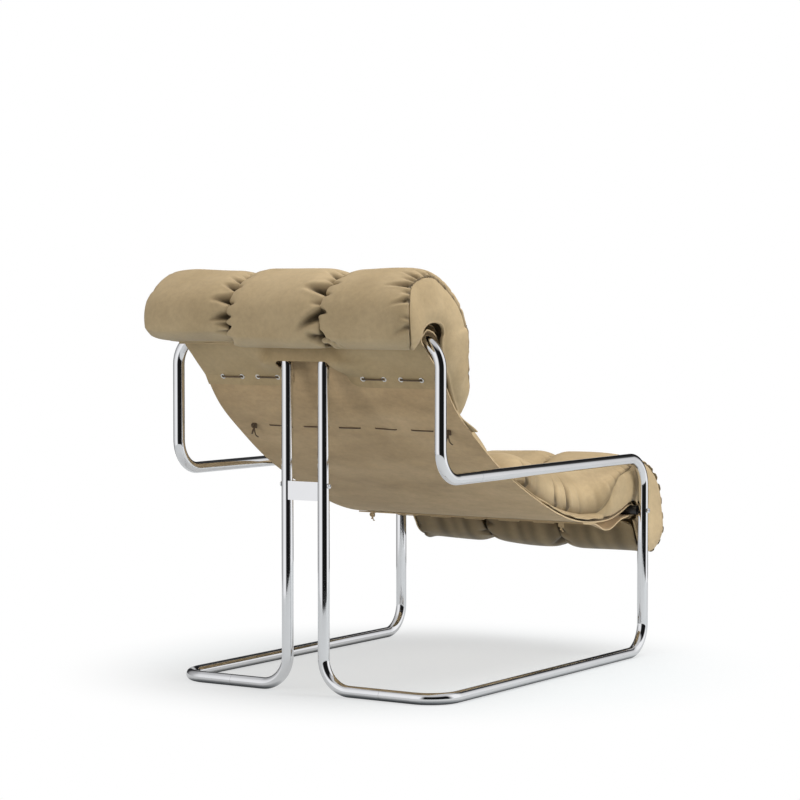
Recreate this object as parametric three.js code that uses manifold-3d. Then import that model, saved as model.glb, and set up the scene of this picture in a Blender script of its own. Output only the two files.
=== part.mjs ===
// Cantilever lounge chair: two bent chrome tubes a side, a laced leather sling and a quilted leather pad.
// Millimetres. The sitter faces -Y, +Z is up and the sitter's left is +X.
// Side outlines are drawn as (depth, height): depth runs forward from the rear posts, height up from the floor.

import * as THREE from 'three';
import { mergeVertices } from 'three/addons/utils/BufferGeometryUtils.js';
import Module from 'manifold-3d';

const wasm = await Module();
wasm.setup();

// Steel frame
const tubeDiameter = 25;
const tubeWall = 2;
const bendRadius = 65;
const frameHalfWidth = 336;
const postHalfSpacing = 46.5;
const topTubeHeight = 757;
const armHeight = 463.5;
const frameDepth = 894;
const armJoinReach = 150;
const floorJoinShare = 0.5;
const jointGap = 0.3;
const joinPlugLength = 60;
const fitClearance = 0.3;
const tubeSides = 16;
const boreSides = 8;
const bendSteps = 6;

// Spacer between the rear posts
const spacerHeight = 40;
const spacerThickness = 20;
const spacerBottom = 410;
const postBoltDrop = 8;
const postBoltReach = 22;

// Seat rail and its end plugs
const railDiameter = 22;
const railWall = 2;
const railHeight = 340;
const plugLength = 30;
const railBoltReach = 20;

// Bolts
const boltShankDiameter = 6;
const boltHoleDiameter = 6.6;
const boltHeadDiameter = 11;
const boltHeadHeight = 4;
const boltSocketDiameter = 4.4;
const boltSocketDepth = 2.4;
const boltSides = 12;

// Leather sling, one sheet from the laced flap behind the top tube to the laced return under the seat rail
const slingHalfWidth = 306;
const slingThickness = 3;
const leatherClearance = 0.6;
const sleeveReach = 62;
const sleeveDrop = 93;
const flapTail = 17;
const returnLaceDepth = 680;
const laceFlatReach = 8;
const returnTail = 24;
const returnSag = 22;
const cutoutHalfWidth = 76;
const cutoutRise = 55;
const cutoutFlare = 72;
const flapBowHalfWidth = 88;
const flapBowFade = 60;

// Pad
const padHalfWidth = 311;
const padSlimHalfWidth = 298;
const headHalfWidth = 324;
const headFlare = 0.075;
const padSeamPlace = 105;
const headSeamPlace = 116;
const headOuterRound = 46;
const padThickness = 110;
const padSlotHalfDepth = 48;
const padSlotRise = 29;
const padFreeDrop = 19;
const padSeamGap = 0.6;
const padCornerDraw = 5;
const padEase = 0.6;
const fullCrown = 20;
const headSideSwell = 8;
const seatSideSwell = 4;
const panelInset = 1;
const padEndRound = 34;
const padLeastThickness = 1.5;
const backingThickness = 2;
const panelThickness = 3;
const headRowDrop = 154;
const backRowReach = 378;

// Lacing
const cordDiameter = 2.2;
const cordSides = 6;
const laceCorner = 2;
const laceHoleDiameter = 3.8;
const laceHoleSides = 4;
const upperHolePlaces = [110, 163, 205, 256];
const stitchPitch = 93;
const stitchLength = 55;
const stitchCount = 5;
const stitchShift = -3;
const knotPlace = 256;
const knotDiameter = 6;
const tailLength = 20;
const upperLaceHeight = 668;
const laceRowGap = 110;
const strapThickness = 2;
const strapRise = 68;
const strapDrop = 10;

// Eyelets
const eyeletBore = 4.4;
const eyeletBarrel = 6;
const eyeletFlange = 9.8;
const eyeletLip = 0.8;
const eyeletSides = 8;

// The sling's line from its upper lacing to the seat rail, as shares of the frame's depth
// and of the height from the rail to the top tube
const slingLineShares = [
  [0.0694, 0.787], [0.122, 0.633], [0.2013, 0.494], [0.3166, 0.327], [0.4474, 0.1835],
  [0.5828, 0.0588], [0.6812, -0.0048], [0.7718, -0.0336], [0.8669, -0.036], [0.9351, -0.0072],
  [0.98, 0.0264],
];
// The loose sleeve round the top tube, as shares of its reach and drop: behind the tube, then before it
const sleeveRearShares = [[0.5, -0.68], [-0.19, -0.25], [-0.42, -0.05]];
const sleeveFrontShares = [[0.34, 0.08], [0.58, -0.13], [0.74, -0.5]];
// The hem round the posts: place across the flare, and how much of the rise is left
const flareShares = [[0.12, 0.24], [0.45, 0.06], [1, 0]];

// Each pad row: place along the row, then thickness at its crest and at the pad's outer edge
const headRowShares = [
  [0, 0.56, 0.3], [0.055, 0.7, 0.37], [0.1, 0.85, 0.55], [0.148, 0.93, 0.7], [0.2, 0.99, 0.7],
  [0.26, 1.06, 0.7], [0.33, 1.08, 0.67], [0.4, 1.02, 0.6], [0.5, 0.92, 0.66], [0.62, 0.83, 0.66],
  [0.77, 0.72, 0.53], [0.87, 0.56, 0.36], [0.95, 0.33, 0.18], [1, 0.08, 0.04],
];
const backRowShares = [
  [0, 0.08, 0.03], [0.08, 0.4, 0.03], [0.2, 0.64, 0.03], [0.5, 0.74, 0.03], [0.8, 0.7, 0.03],
  [0.93, 0.46, 0.03], [1, 0.08, 0.03],
];
const seatRowShares = [
  [0, 0.08, 0.03], [0.035, 0.52, 0.06], [0.09, 0.8, 0.08], [0.2, 0.92, 0.1], [0.6, 0.95, 0.12],
  [0.62, 0.95, 0.3], [0.66, 0.95, 0.5], [0.715, 0.94, 0.66], [0.79, 0.93, 0.72], [0.85, 0.92, 0.7],
  [0.895, 1, 0.88], [0.93, 1.12, 1.04], [0.96, 1.08, 1.02], [0.985, 0.92, 0.9], [1, 0.88, 0.86],
];
const seatPanelStartShare = 0.6;
const seatWideningShares = [0.34, 0.58];
const headSeamEaseShares = [0.35, 0.85];
const headNarrowingShares = [0.9, 1];
const seamDepthShare = 0.8;
const headSeamShare = 0.88;
const seamSwellShare = 0.22;
const fullSideShare = 0.45;
const thinSideShare = 2.4;

// Worked out from the sizes above
const tubeRadius = tubeDiameter / 2;
const floorTubeHeight = tubeRadius;
const railRadius = railDiameter / 2;
const cordRadius = cordDiameter / 2;
const cordReach = cordRadius / Math.cos(Math.PI / cordSides);
const layerStep = slingThickness + leatherClearance;
const slingOverTube = tubeRadius + leatherClearance + slingThickness / 2;
const slingOverRail = railRadius + leatherClearance + slingThickness / 2;
const strapMiddle = slingThickness / 2 + fitClearance + strapThickness / 2;
const strapFace = strapMiddle + strapThickness / 2;
const padOffset = strapFace + 2 * cordReach + backingThickness + 2 * fitClearance + padEase;
const lowerLaceHeight = upperLaceHeight - laceRowGap;
const quarterTurn = Math.PI / 2;
const outerJoinSpot = THREE.MathUtils.lerp(postHalfSpacing, frameHalfWidth, floorJoinShare);

const chrome = { color: 0xd8dade, roughness: 0.08, metalness: 1 };
const blackSteel = { color: 0x15151a, roughness: 0.35, metalness: 0.8 };
const nickel = { color: 0xcfcac2, roughness: 0.25, metalness: 1 };
const suede = { color: 0x9b8466, roughness: 0.9, metalness: 0 };
const padLeather = { color: 0xb79f76, roughness: 0.6, metalness: 0 };
const cordLeather = { color: 0x4a3a28, roughness: 0.8, metalness: 0 };

const chair = new THREE.Group();
chair.name = 'chair';

function addPiece(name, geometry, finish) {
  const mesh = new THREE.Mesh(geometry, new THREE.MeshStandardMaterial(finish));
  mesh.name = name;
  chair.add(mesh);
  return mesh;
}

function place(x, depth, height) {
  return new THREE.Vector3(x, -depth, height);
}

// A solid body for cutting and joining, and back again
function toSolid(geometry) {
  const bare = new THREE.BufferGeometry();
  bare.setAttribute('position', geometry.getAttribute('position'));
  if (geometry.index) bare.setIndex(geometry.index);
  const merged = mergeVertices(bare);
  return new wasm.Manifold(new wasm.Mesh({
    numProp: 3,
    vertProperties: new Float32Array(merged.getAttribute('position').array),
    triVerts: new Uint32Array(merged.index.array),
  }));
}

function toGeometry(solid) {
  const mesh = solid.getMesh();
  const geometry = new THREE.BufferGeometry();
  geometry.setAttribute('position', new THREE.BufferAttribute(mesh.vertProperties, mesh.numProp));
  geometry.setIndex(new THREE.BufferAttribute(mesh.triVerts, 1));
  return geometry;
}

// Round bar sections have a flat on each axis, so a tube on the floor rests on a flat
function ringPoints(radius, sides) {
  const corner = radius / Math.cos(Math.PI / sides);
  return Array.from({ length: sides }, (_, k) => {
    const turn = (k + 0.5) * 2 * Math.PI / sides;
    return new THREE.Vector2(corner * Math.cos(turn), corner * Math.sin(turn));
  });
}

// A route is a list of stations, each with its point and heading, so a sweep has one ring at each
class Route extends THREE.Curve {
  constructor(stations) {
    super();
    this.stations = stations;
  }

  stationAt(share) {
    return this.stations[Math.round(share * (this.stations.length - 1))];
  }

  getPointAt(share) {
    return this.stationAt(share).point.clone();
  }

  getTangentAt(share) {
    return this.stationAt(share).heading.clone();
  }
}

function bentRoute(corners, radius, steps) {
  const stations = [];
  const headings = corners.slice(1).map((corner, k) => corner.clone().sub(corners[k]).normalize());
  stations.push({ point: corners[0].clone(), heading: headings[0] });
  for (let k = 1; k < corners.length - 1; k += 1) {
    const before = headings[k - 1];
    const after = headings[k];
    const turn = before.angleTo(after);
    const axis = before.clone().cross(after).normalize();
    const lead = radius * Math.tan(turn / 2);
    const start = corners[k].clone().addScaledVector(before, -lead);
    const centre = start.clone().addScaledVector(axis.clone().cross(before), radius);
    const arm = start.sub(centre);
    for (let step = 0; step <= steps; step += 1) {
      const angle = turn * step / steps;
      stations.push({
        point: arm.clone().applyAxisAngle(axis, angle).add(centre),
        heading: before.clone().applyAxisAngle(axis, angle),
      });
    }
  }
  stations.push({ point: corners.at(-1).clone(), heading: headings.at(-1) });
  return stations;
}

function sweep(shape, stations) {
  return new THREE.ExtrudeGeometry(shape, {
    steps: stations.length - 1,
    bevelEnabled: false,
    extrudePath: new Route(stations),
  });
}

function pipeShape(outerRadius, innerRadius, sides) {
  const shape = new THREE.Shape(ringPoints(outerRadius, sides));
  if (innerRadius > 0) shape.holes.push(new THREE.Path(ringPoints(innerRadius, boreSides)));
  return shape;
}

// A round piece turned about the x axis; its profile is (distance from the middle of the chair, radius)
function turnedPiece(profile, side, sides, depth, height) {
  const points = profile.map(([along, radius]) => new THREE.Vector2(radius, along));
  const geometry = new THREE.LatheGeometry(points, sides);
  geometry.rotateZ(-side * quarterTurn);
  const middle = place(0, depth, height);
  geometry.translate(middle.x, middle.y, middle.z);
  return geometry;
}

// A flat outline in (depth, height) made into a plate that starts at x and runs towards the sitter's right
function sidePlate(outline, startX, width) {
  const geometry = new THREE.ExtrudeGeometry(new THREE.Shape(outline), { depth: width, bevelEnabled: false });
  const backwards = new THREE.Vector3(0, -1, 0);
  const upwards = new THREE.Vector3(0, 0, 1);
  const turn = new THREE.Matrix4().makeBasis(backwards, upwards, backwards.clone().cross(upwards));
  geometry.applyMatrix4(turn.setPosition(startX, 0, 0));
  return geometry;
}

// Side lines in (depth, height). The left of a line is its outside
function leftNormals(points) {
  return points.map((_, k) => {
    const before = points[Math.max(k - 1, 0)];
    const after = points[Math.min(k + 1, points.length - 1)];
    const along = after.clone().sub(before).normalize();
    return new THREE.Vector2(-along.y, along.x);
  });
}

function offsetLine(points, distance) {
  const normals = leftNormals(points);
  return points.map((point, k) => point.clone().addScaledVector(normals[k], distance));
}

function stripOutline(middleLine, thickness) {
  const upper = offsetLine(middleLine, thickness / 2);
  const lower = offsetLine(middleLine, -thickness / 2);
  return [...lower, ...upper.reverse()];
}

// Distance along a line, and the point and normal at a distance
function measureLine(points) {
  const lengths = [0];
  for (let k = 1; k < points.length; k += 1) {
    lengths.push(lengths[k - 1] + points[k].distanceTo(points[k - 1]));
  }
  return { points, normals: leftNormals(points), lengths, total: lengths.at(-1) };
}

function lineAt(line, distance) {
  const last = line.points.length - 1;
  let k = 1;
  while (k < last && line.lengths[k] < distance) k += 1;
  const span = line.lengths[k] - line.lengths[k - 1];
  const share = THREE.MathUtils.clamp((distance - line.lengths[k - 1]) / span, 0, 1);
  return {
    point: line.points[k - 1].clone().lerp(line.points[k], share),
    normal: line.normals[k - 1].clone().lerp(line.normals[k], share).normalize(),
  };
}

// The same, square to the straight stretch that the place lies on
function flatAt(line, distance) {
  const k = line.lengths.findIndex((length) => length > distance);
  const [from, to] = [line.points[k - 1], line.points[k]];
  const along = to.clone().sub(from).normalize();
  return {
    point: from.clone().addScaledVector(along, distance - line.lengths[k - 1]),
    normal: new THREE.Vector2(-along.y, along.x),
  };
}

function distanceWhere(line, test) {
  return line.lengths[line.points.findIndex(test)];
}

// The distance at which a measure of the point first falls to nothing
function crossing(line, measure) {
  const k = line.points.findIndex((point) => measure(point) <= 0);
  const [before, after] = [measure(line.points[k - 1]), measure(line.points[k])];
  return THREE.MathUtils.lerp(line.lengths[k - 1], line.lengths[k], before / (before - after));
}

// The middle of the straight stretch that reaches the tested place, and the stretch's two ends
function stretchWhere(line, test) {
  const k = line.points.findIndex(test);
  const [from, to] = [line.lengths[k - 1], line.lengths[k]];
  return { from, middle: (from + to) / 2, to };
}

function curvePoints(controls, count) {
  return new THREE.SplineCurve(controls).getPoints(count);
}

function arcPoints(centre, radius, fromAngle, toAngle, count) {
  return Array.from({ length: count + 1 }, (_, k) => {
    const angle = THREE.MathUtils.lerp(fromAngle, toAngle, k / count);
    return new THREE.Vector2(centre.x + radius * Math.cos(angle), centre.y + radius * Math.sin(angle));
  });
}

// Frame tubes. Each side is a closed loop, made of a back tube and a side tube that meet over a plug
function frameCorners(side) {
  const outer = side * frameHalfWidth;
  const inner = side * postHalfSpacing;
  return {
    floorJoin: place(side * outerJoinSpot, 0, floorTubeHeight),
    postFoot: place(inner, 0, floorTubeHeight),
    postTop: place(inner, 0, topTubeHeight),
    outerTop: place(outer, 0, topTubeHeight),
    armBack: place(outer, 0, armHeight),
    armJoin: place(outer, armJoinReach, armHeight),
    armFront: place(outer, frameDepth, armHeight),
    legFoot: place(outer, frameDepth, floorTubeHeight),
    floorBack: place(outer, 0, floorTubeHeight),
  };
}

function shortened(corners, gap) {
  const ends = corners.map((corner) => corner.clone());
  const last = ends.length - 1;
  const lead = ends[1].clone().sub(ends[0]).setLength(gap / 2);
  const tail = ends[last - 1].clone().sub(ends[last]).setLength(gap / 2);
  ends[0].add(lead);
  ends[last].add(tail);
  return ends;
}

function crossHole(side, fromX, toX, depth, height, diameter) {
  const length = toX - fromX;
  const hole = new THREE.CylinderGeometry(diameter / 2, diameter / 2, length, boltSides);
  hole.rotateZ(quarterTurn);
  const middle = place(side * (fromX + length / 2), depth, height);
  hole.translate(middle.x, middle.y, middle.z);
  return toSolid(hole);
}

function bentTube(corners) {
  const section = pipeShape(tubeRadius, tubeRadius - tubeWall, tubeSides);
  return toSolid(sweep(section, bentRoute(shortened(corners, jointGap), bendRadius, bendSteps)));
}

const postBoltHeight = spacerBottom + spacerHeight - postBoltDrop;
const overrun = tubeRadius;

function addSideFrame(side, word) {
  const c = frameCorners(side);
  const backRun = [c.floorJoin, c.postFoot, c.postTop, c.outerTop, c.armBack, c.armJoin];
  const sideRun = [c.armJoin, c.armFront, c.legFoot, c.floorBack, c.floorJoin];
  const postHole = crossHole(side, postHalfSpacing - tubeRadius - overrun,
    postHalfSpacing + tubeRadius + overrun, 0, postBoltHeight, boltHoleDiameter);
  const legHole = crossHole(side, frameHalfWidth - tubeRadius - overrun,
    frameHalfWidth + tubeRadius + overrun, frameDepth, railHeight, boltHoleDiameter);
  addPiece(`${word}_back_tube`, toGeometry(bentTube(backRun).subtract(postHole)), chrome);
  addPiece(`${word}_side_tube`, toGeometry(bentTube(sideRun).subtract(legHole)), chrome);

  const plugShape = pipeShape(tubeRadius - tubeWall - fitClearance, 0, boreSides);
  const plugs = { arm: [c.armJoin, c.armFront], floor: [c.floorJoin, c.postFoot] };
  for (const [spot, [middle, towards]] of Object.entries(plugs)) {
    const heading = towards.clone().sub(middle).normalize();
    const ends = [-1, 1].map((end) => ({
      point: middle.clone().addScaledVector(heading, end * joinPlugLength / 2),
      heading,
    }));
    addPiece(`${word}_${spot}_join_plug`, sweep(plugShape, ends), blackSteel);
  }
}

// A button head bolt lying along x, its head outside at seatX and its tip towards the middle
function bolt(side, seatX, tipX, depth, height) {
  const shank = boltShankDiameter / 2;
  const socket = boltSocketDiameter / 2;
  const head = boltHeadDiameter / 2;
  const top = seatX + boltHeadHeight;
  const profile = [
    [tipX, 0], [tipX, shank], [seatX, shank], [seatX, head],
    [seatX + boltHeadHeight / 2, head], [top, head - boltHeadHeight / 2],
    [top, socket], [top - boltSocketDepth, socket], [top - boltSocketDepth, 0],
  ];
  return turnedPiece(profile, side, boltSides, depth, height);
}

function addSpacer() {
  const half = postHalfSpacing;
  const block = new THREE.BoxGeometry(2 * half, spacerThickness, spacerHeight);
  const middle = place(0, 0, spacerBottom + spacerHeight / 2);
  block.translate(middle.x, middle.y, middle.z);
  let solid = toSolid(block);
  for (const side of [-1, 1]) {
    const ends = [-1, 1].map((end) => ({
      point: place(side * half, 0, middle.z + end * spacerHeight),
      heading: new THREE.Vector3(0, 0, 1),
    }));
    const post = sweep(pipeShape(tubeRadius + fitClearance, 0, tubeSides), ends);
    const thread = crossHole(side, half - tubeRadius - postBoltReach - fitClearance, half, 0,
      postBoltHeight, boltHoleDiameter);
    solid = solid.subtract(toSolid(post)).subtract(thread);
  }
  addPiece('post_spacer', toGeometry(solid), chrome);
}

function addFasteners() {
  const railEnd = frameHalfWidth - tubeRadius - fitClearance;
  const plugOuter = railRadius - railWall - fitClearance;
  for (const [side, word] of [[1, 'left'], [-1, 'right']]) {
    const postSeat = postHalfSpacing + tubeRadius + fitClearance;
    const postTip = postHalfSpacing - tubeRadius - postBoltReach;
    addPiece(`${word}_post_bolt`, bolt(side, postSeat, postTip, 0, postBoltHeight), chrome);

    const legSeat = frameHalfWidth + tubeRadius + fitClearance;
    const legTip = railEnd - railBoltReach;
    addPiece(`${word}_rail_bolt`, bolt(side, legSeat, legTip, frameDepth, railHeight), chrome);

    const bore = boltHoleDiameter / 2;
    const plugProfile = [
      [railEnd - plugLength, bore], [railEnd - plugLength, plugOuter],
      [railEnd, plugOuter], [railEnd, bore], [railEnd - plugLength, bore],
    ];
    addPiece(`${word}_rail_plug`, turnedPiece(plugProfile, side, boltSides, frameDepth, railHeight), blackSteel);
  }
  const railEnds = [-1, 1].map((end) => ({
    point: place(end * railEnd, frameDepth, railHeight),
    heading: new THREE.Vector3(1, 0, 0),
  }));
  addPiece('seat_rail', sweep(pipeShape(railRadius, railRadius - railWall, tubeSides), railEnds), blackSteel);
}

// The sling's side line, laid from the upper lacing forward to the rail, round it and back to its hem
const topTube = new THREE.Vector2(0, topTubeHeight);
const rail = new THREE.Vector2(frameDepth, railHeight);
const slingControls = slingLineShares.map(([depth, height]) => new THREE.Vector2(
  depth * frameDepth, railHeight + height * (topTubeHeight - railHeight)));
const sleevePoint = ([reach, drop]) => new THREE.Vector2(
  reach * sleeveReach, topTubeHeight + drop * sleeveDrop);
const sleeveRest = THREE.MathUtils.degToRad(40);
const sleeveArc = arcPoints(topTube, slingOverTube, quarterTurn + sleeveRest, quarterTurn - sleeveRest, 4);
const sleeveTop = sleeveArc[2];
const sleeveFront = [...sleeveArc.slice(3), ...sleeveFrontShares.map(sleevePoint)];
const railTopAngle = THREE.MathUtils.degToRad(100);
const railUnderAngle = THREE.MathUtils.degToRad(-112);


// The sheet lies flat for a short stretch at each row of holes
const slingFrontControls = [sleeveTop, ...sleeveFront, ...slingControls];
const fineSteps = 16;
const slingCurve = measureLine(curvePoints(slingFrontControls, fineSteps * (slingFrontControls.length - 1)));
const lacePlaces = [
  distanceWhere(slingCurve, (point) => point.y < upperLaceHeight),
  distanceWhere(slingCurve, (point) => point.y < lowerLaceHeight),
  distanceWhere(slingCurve, (point) => point.x > returnLaceDepth),
];
const plainPlaces = slingCurve.lengths.filter((length, k) => k % (k < 2 * fineSteps ? fineSteps : fineSteps / 2) === 0
  && lacePlaces.every((place) => Math.abs(place - length) > 2 * laceFlatReach));
const slingPlaces = [...plainPlaces, ...lacePlaces.flatMap((place) => [place - laceFlatReach, place + laceFlatReach])];
const slingFront = slingPlaces.sort((a, b) => a - b).map((place) => lineAt(slingCurve, place).point);
const slingSeat = measureLine(slingFront);
const slingRailWrap = arcPoints(rail, slingOverRail, railTopAngle, railUnderAngle, 8);

const behindSling = (distance) => {
  const { point, normal } = flatAt(slingSeat, distance);
  return point.addScaledVector(normal, -layerStep);
};

const returnLaceStretch = stretchWhere(slingSeat, (point) => point.x > returnLaceDepth);
const returnLow = new THREE.Vector2((returnLaceDepth + frameDepth) / 2, railHeight - returnSag);
const flatInset = laceFlatReach / 8;
const returnFront = behindSling(returnLaceStretch.to - flatInset);
const returnBack = behindSling(returnLaceStretch.from + flatInset);
const returnHem = behindSling(returnLaceStretch.middle - returnTail);
const returnLoop = curvePoints([slingRailWrap.at(-1), returnLow, returnFront], 7).slice(1);
const slingReturn = [...returnLoop, returnBack, returnHem];
const slingMain = [...slingFront, ...slingRailWrap, ...slingReturn];

// The flap behind the top tube, from its hem up to the top of the tube
const upperLaceStretch = stretchWhere(slingSeat, (point) => point.y < upperLaceHeight);
const upperLaceDistance = upperLaceStretch.middle;
const flapHemDistance = upperLaceDistance + flapTail;
const flapHem = behindSling(flapHemDistance);
const flapLow = behindSling(upperLaceStretch.to - flatInset);
const flapHigh = behindSling(upperLaceStretch.from + flatInset);
const flapUp = [flapHigh, ...sleeveRearShares.map(sleevePoint), ...sleeveArc.slice(0, 3)];
const flapEnd = sleeveTop.clone().add(new THREE.Vector2(leatherClearance, 0));
const flapSteps = 2 * (flapUp.length - 1);
const flapCurve = curvePoints(flapUp, flapSteps).filter((_, k) => k % 2 === 0 || k < flapSteps - 8);
const flapLine = measureLine([flapHem, flapLow, ...flapCurve, flapEnd]);
const flapHighDistance = distanceWhere(flapLine, (point) => point.equals(flapHigh));

function distanceAtHeight(line, height) {
  const k = line.points.findIndex((point) => point.y >= height);
  if (k < 1) return 0;
  const share = (height - line.points[k - 1].y) / (line.points[k].y - line.points[k - 1].y);
  return THREE.MathUtils.lerp(line.lengths[k - 1], line.lengths[k], share);
}

function hemHeight(x) {
  const past = (Math.abs(x) - cutoutHalfWidth) / cutoutFlare;
  if (past <= 0) return flapHem.y + cutoutRise;
  const table = [[0, flareShares[0][1]], ...flareShares];
  const k = Math.max(1, table.findIndex(([share]) => share >= past));
  if (past >= 1) return flapHem.y;
  const [fromShare, fromRise] = table[k - 1];
  const [toShare, toRise] = table[k];
  const rise = THREE.MathUtils.mapLinear(past, fromShare, toShare, fromRise, toRise);
  return flapHem.y + cutoutRise * rise;
}

// Between the posts the flap is bowed back behind them, and away from them it hangs plain
function flapBow(x, point) {
  const across = 1 - THREE.MathUtils.smoothstep(Math.abs(x), flapBowHalfWidth, flapBowHalfWidth + flapBowFade);
  const up = THREE.MathUtils.smoothstep(point.y, flapHigh.y, flapHem.y + cutoutRise);
  return -across * up * Math.max(0, point.x + slingOverTube);
}

// A bent sheet between two skins of the same grid, row by row, closed round its edges
function gridSolid(outer, inner) {
  const rows = outer.length;
  const columns = outer[0].length;
  const positions = [...outer.flat(), ...inner.flat()].flatMap((point) => point.toArray());
  const outerAt = (row, column) => row * columns + column;
  const innerAt = (row, column) => rows * columns + row * columns + column;
  const faces = [];
  const quad = (a, b, c, d) => faces.push(a, c, b, a, d, c);
  for (let row = 0; row < rows - 1; row += 1) {
    for (let column = 0; column < columns - 1; column += 1) {
      quad(outerAt(row, column), outerAt(row, column + 1), outerAt(row + 1, column + 1), outerAt(row + 1, column));
      quad(innerAt(row, column), innerAt(row + 1, column), innerAt(row + 1, column + 1), innerAt(row, column + 1));
    }
    quad(outerAt(row, 0), outerAt(row + 1, 0), innerAt(row + 1, 0), innerAt(row, 0));
    quad(outerAt(row, columns - 1), innerAt(row, columns - 1), innerAt(row + 1, columns - 1), outerAt(row + 1, columns - 1));
  }
  for (let column = 0; column < columns - 1; column += 1) {
    quad(outerAt(0, column), innerAt(0, column), innerAt(0, column + 1), outerAt(0, column + 1));
    quad(outerAt(rows - 1, column), outerAt(rows - 1, column + 1), innerAt(rows - 1, column + 1), innerAt(rows - 1, column));
  }
  const geometry = new THREE.BufferGeometry();
  geometry.setAttribute('position', new THREE.Float32BufferAttribute(positions, 3));
  geometry.setIndex(faces);
  return geometry;
}

function flapSolid() {
  const flares = flareShares.map(([share]) => cutoutHalfWidth + share * cutoutFlare);
  const fadeEnd = flapBowHalfWidth + flapBowFade;
  const half = [0, cutoutHalfWidth, ...flares.slice(0, -1), fadeEnd, slingHalfWidth];
  const columns = [...half.slice(1).reverse().map((x) => -x), ...half];
  const outer = [];
  const inner = [];
  for (const length of flapLine.lengths) {
    outer.push([]);
    inner.push([]);
    for (const x of columns) {
      const start = distanceAtHeight(flapLine, hemHeight(x));
      const whole = start > flapHighDistance ? flapLine.total : flapHighDistance;
      const distance = length > whole ? length : THREE.MathUtils.lerp(start, whole, length / whole);
      const { point, normal } = lineAt(flapLine, distance);
      const middle = point.x + flapBow(x, point);
      const reach = normal.clone().multiplyScalar(slingThickness / 2);
      outer.at(-1).push(place(x, middle + reach.x, point.y + reach.y));
      inner.at(-1).push(place(x, middle - reach.x, point.y - reach.y));
    }
  }
  return toSolid(gridSolid(outer, inner));
}

// A cutter through the sheet at a place across and a distance along the sling
function sheetHole(x, distance, diameter, sides, fromOffset, toOffset) {
  const { point, normal } = flatAt(slingSeat, distance);
  const axis = place(0, normal.x, normal.y);
  const length = toOffset - fromOffset;
  const corner = diameter / 2 / Math.cos(Math.PI / sides);
  const cutter = new THREE.CylinderGeometry(corner, corner, length, sides);
  cutter.applyQuaternion(new THREE.Quaternion().setFromUnitVectors(new THREE.Vector3(0, 1, 0), axis));
  const middle = place(x, point.x, point.y).addScaledVector(axis, (fromOffset + toOffset) / 2);
  cutter.translate(middle.x, middle.y, middle.z);
  return toSolid(cutter);
}

const lowerLaceDistance = stretchWhere(slingSeat, (point) => point.y < lowerLaceHeight).middle;
const returnLaceDistance = returnLaceStretch.middle;
const stitchPlaces = Array.from({ length: stitchCount }, (_, k) => {
  const middle = (k - (stitchCount - 1) / 2) * stitchPitch + stitchShift;
  return [middle - stitchLength / 2, middle + stitchLength / 2];
}).flat();
const rowHolePlaces = [-knotPlace, ...stitchPlaces, knotPlace];

function addSling() {
  let solid = toSolid(sidePlate(stripOutline(slingMain, slingThickness), slingHalfWidth, 2 * slingHalfWidth));
  solid = solid.add(flapSolid());
  const through = layerStep + slingThickness;
  for (const side of [-1, 1]) {
    for (const x of upperHolePlaces) {
      solid = solid.subtract(sheetHole(side * x, upperLaceDistance, eyeletBarrel + 2 * fitClearance, cordSides, -through, through));
    }
  }
  for (const x of rowHolePlaces) {
    solid = solid.subtract(sheetHole(x, lowerLaceDistance, laceHoleDiameter, laceHoleSides, -slingThickness, slingThickness));
    solid = solid.subtract(sheetHole(x, returnLaceDistance, laceHoleDiameter, laceHoleSides, -through, slingThickness));
  }
  addPiece('sling', toGeometry(solid), suede);
}

function addLacingStrap() {
  const from = lowerLaceDistance - strapRise;
  const to = lowerLaceDistance + strapDrop;
  const line = [];
  for (let k = 0; k <= 8; k += 1) {
    const { point, normal } = lineAt(slingSeat, THREE.MathUtils.lerp(from, to, k / 8));
    line.push(point.addScaledVector(normal, strapMiddle));
  }
  let solid = toSolid(sidePlate(stripOutline(line, strapThickness), slingHalfWidth, 2 * slingHalfWidth));
  for (const x of rowHolePlaces) {
    solid = solid.subtract(sheetHole(x, lowerLaceDistance, laceHoleDiameter, laceHoleSides, 0, strapFace + strapThickness));
  }
  addPiece('lacing_strap', toGeometry(solid), padLeather);
}

// Lacing runs along x over and under the leather. offsets are distances from the sling's middle, out of its back
function laceRoute(places, distance, backOffset, frontOffset, startsBehind) {
  const { point, normal } = flatAt(slingSeat, distance);
  const spot = (x, offset) => place(x, point.x + normal.x * offset, point.y + normal.y * offset);
  const corners = [];
  let behind = startsBehind;
  places.forEach((x, k) => {
    const offset = behind ? -backOffset : frontOffset;
    if (k > 0) corners.push(spot(x, offset));
    behind = !behind;
    if (k < places.length - 1) corners.push(spot(x, behind ? -backOffset : frontOffset));
  });
  return { corners, spot };
}

const cordShape = pipeShape(cordRadius, 0, cordSides);
const cornerSteps = 2;

function tail(from, heading, length) {
  const ends = [0, length].map((along) => ({
    point: from.clone().addScaledVector(heading, along),
    heading,
  }));
  return toSolid(sweep(cordShape, ends));
}

function knotAt(point) {
  const knot = new THREE.IcosahedronGeometry(knotDiameter / 2, 1);
  knot.translate(point.x, point.y, point.z);
  return toSolid(knot);
}

function addUpperLace(side, word, backOffset, frontOffset) {
  const { corners, spot } = laceRoute(upperHolePlaces.map((x) => side * x), upperLaceDistance,
    backOffset, frontOffset, false);
  const endRun = side * laceCorner * 2;
  const first = spot(side * upperHolePlaces[0] + endRun, frontOffset);
  const last = spot(side * upperHolePlaces.at(-1) - endRun, frontOffset);
  const start = spot(side * upperHolePlaces[0], frontOffset);
  const end = spot(side * upperHolePlaces.at(-1), frontOffset);
  const route = bentRoute([first, start, ...corners, end, last], laceCorner, cornerSteps);
  addPiece(`upper_lacing_${word}`, sweep(cordShape, route), cordLeather);
}

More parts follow.
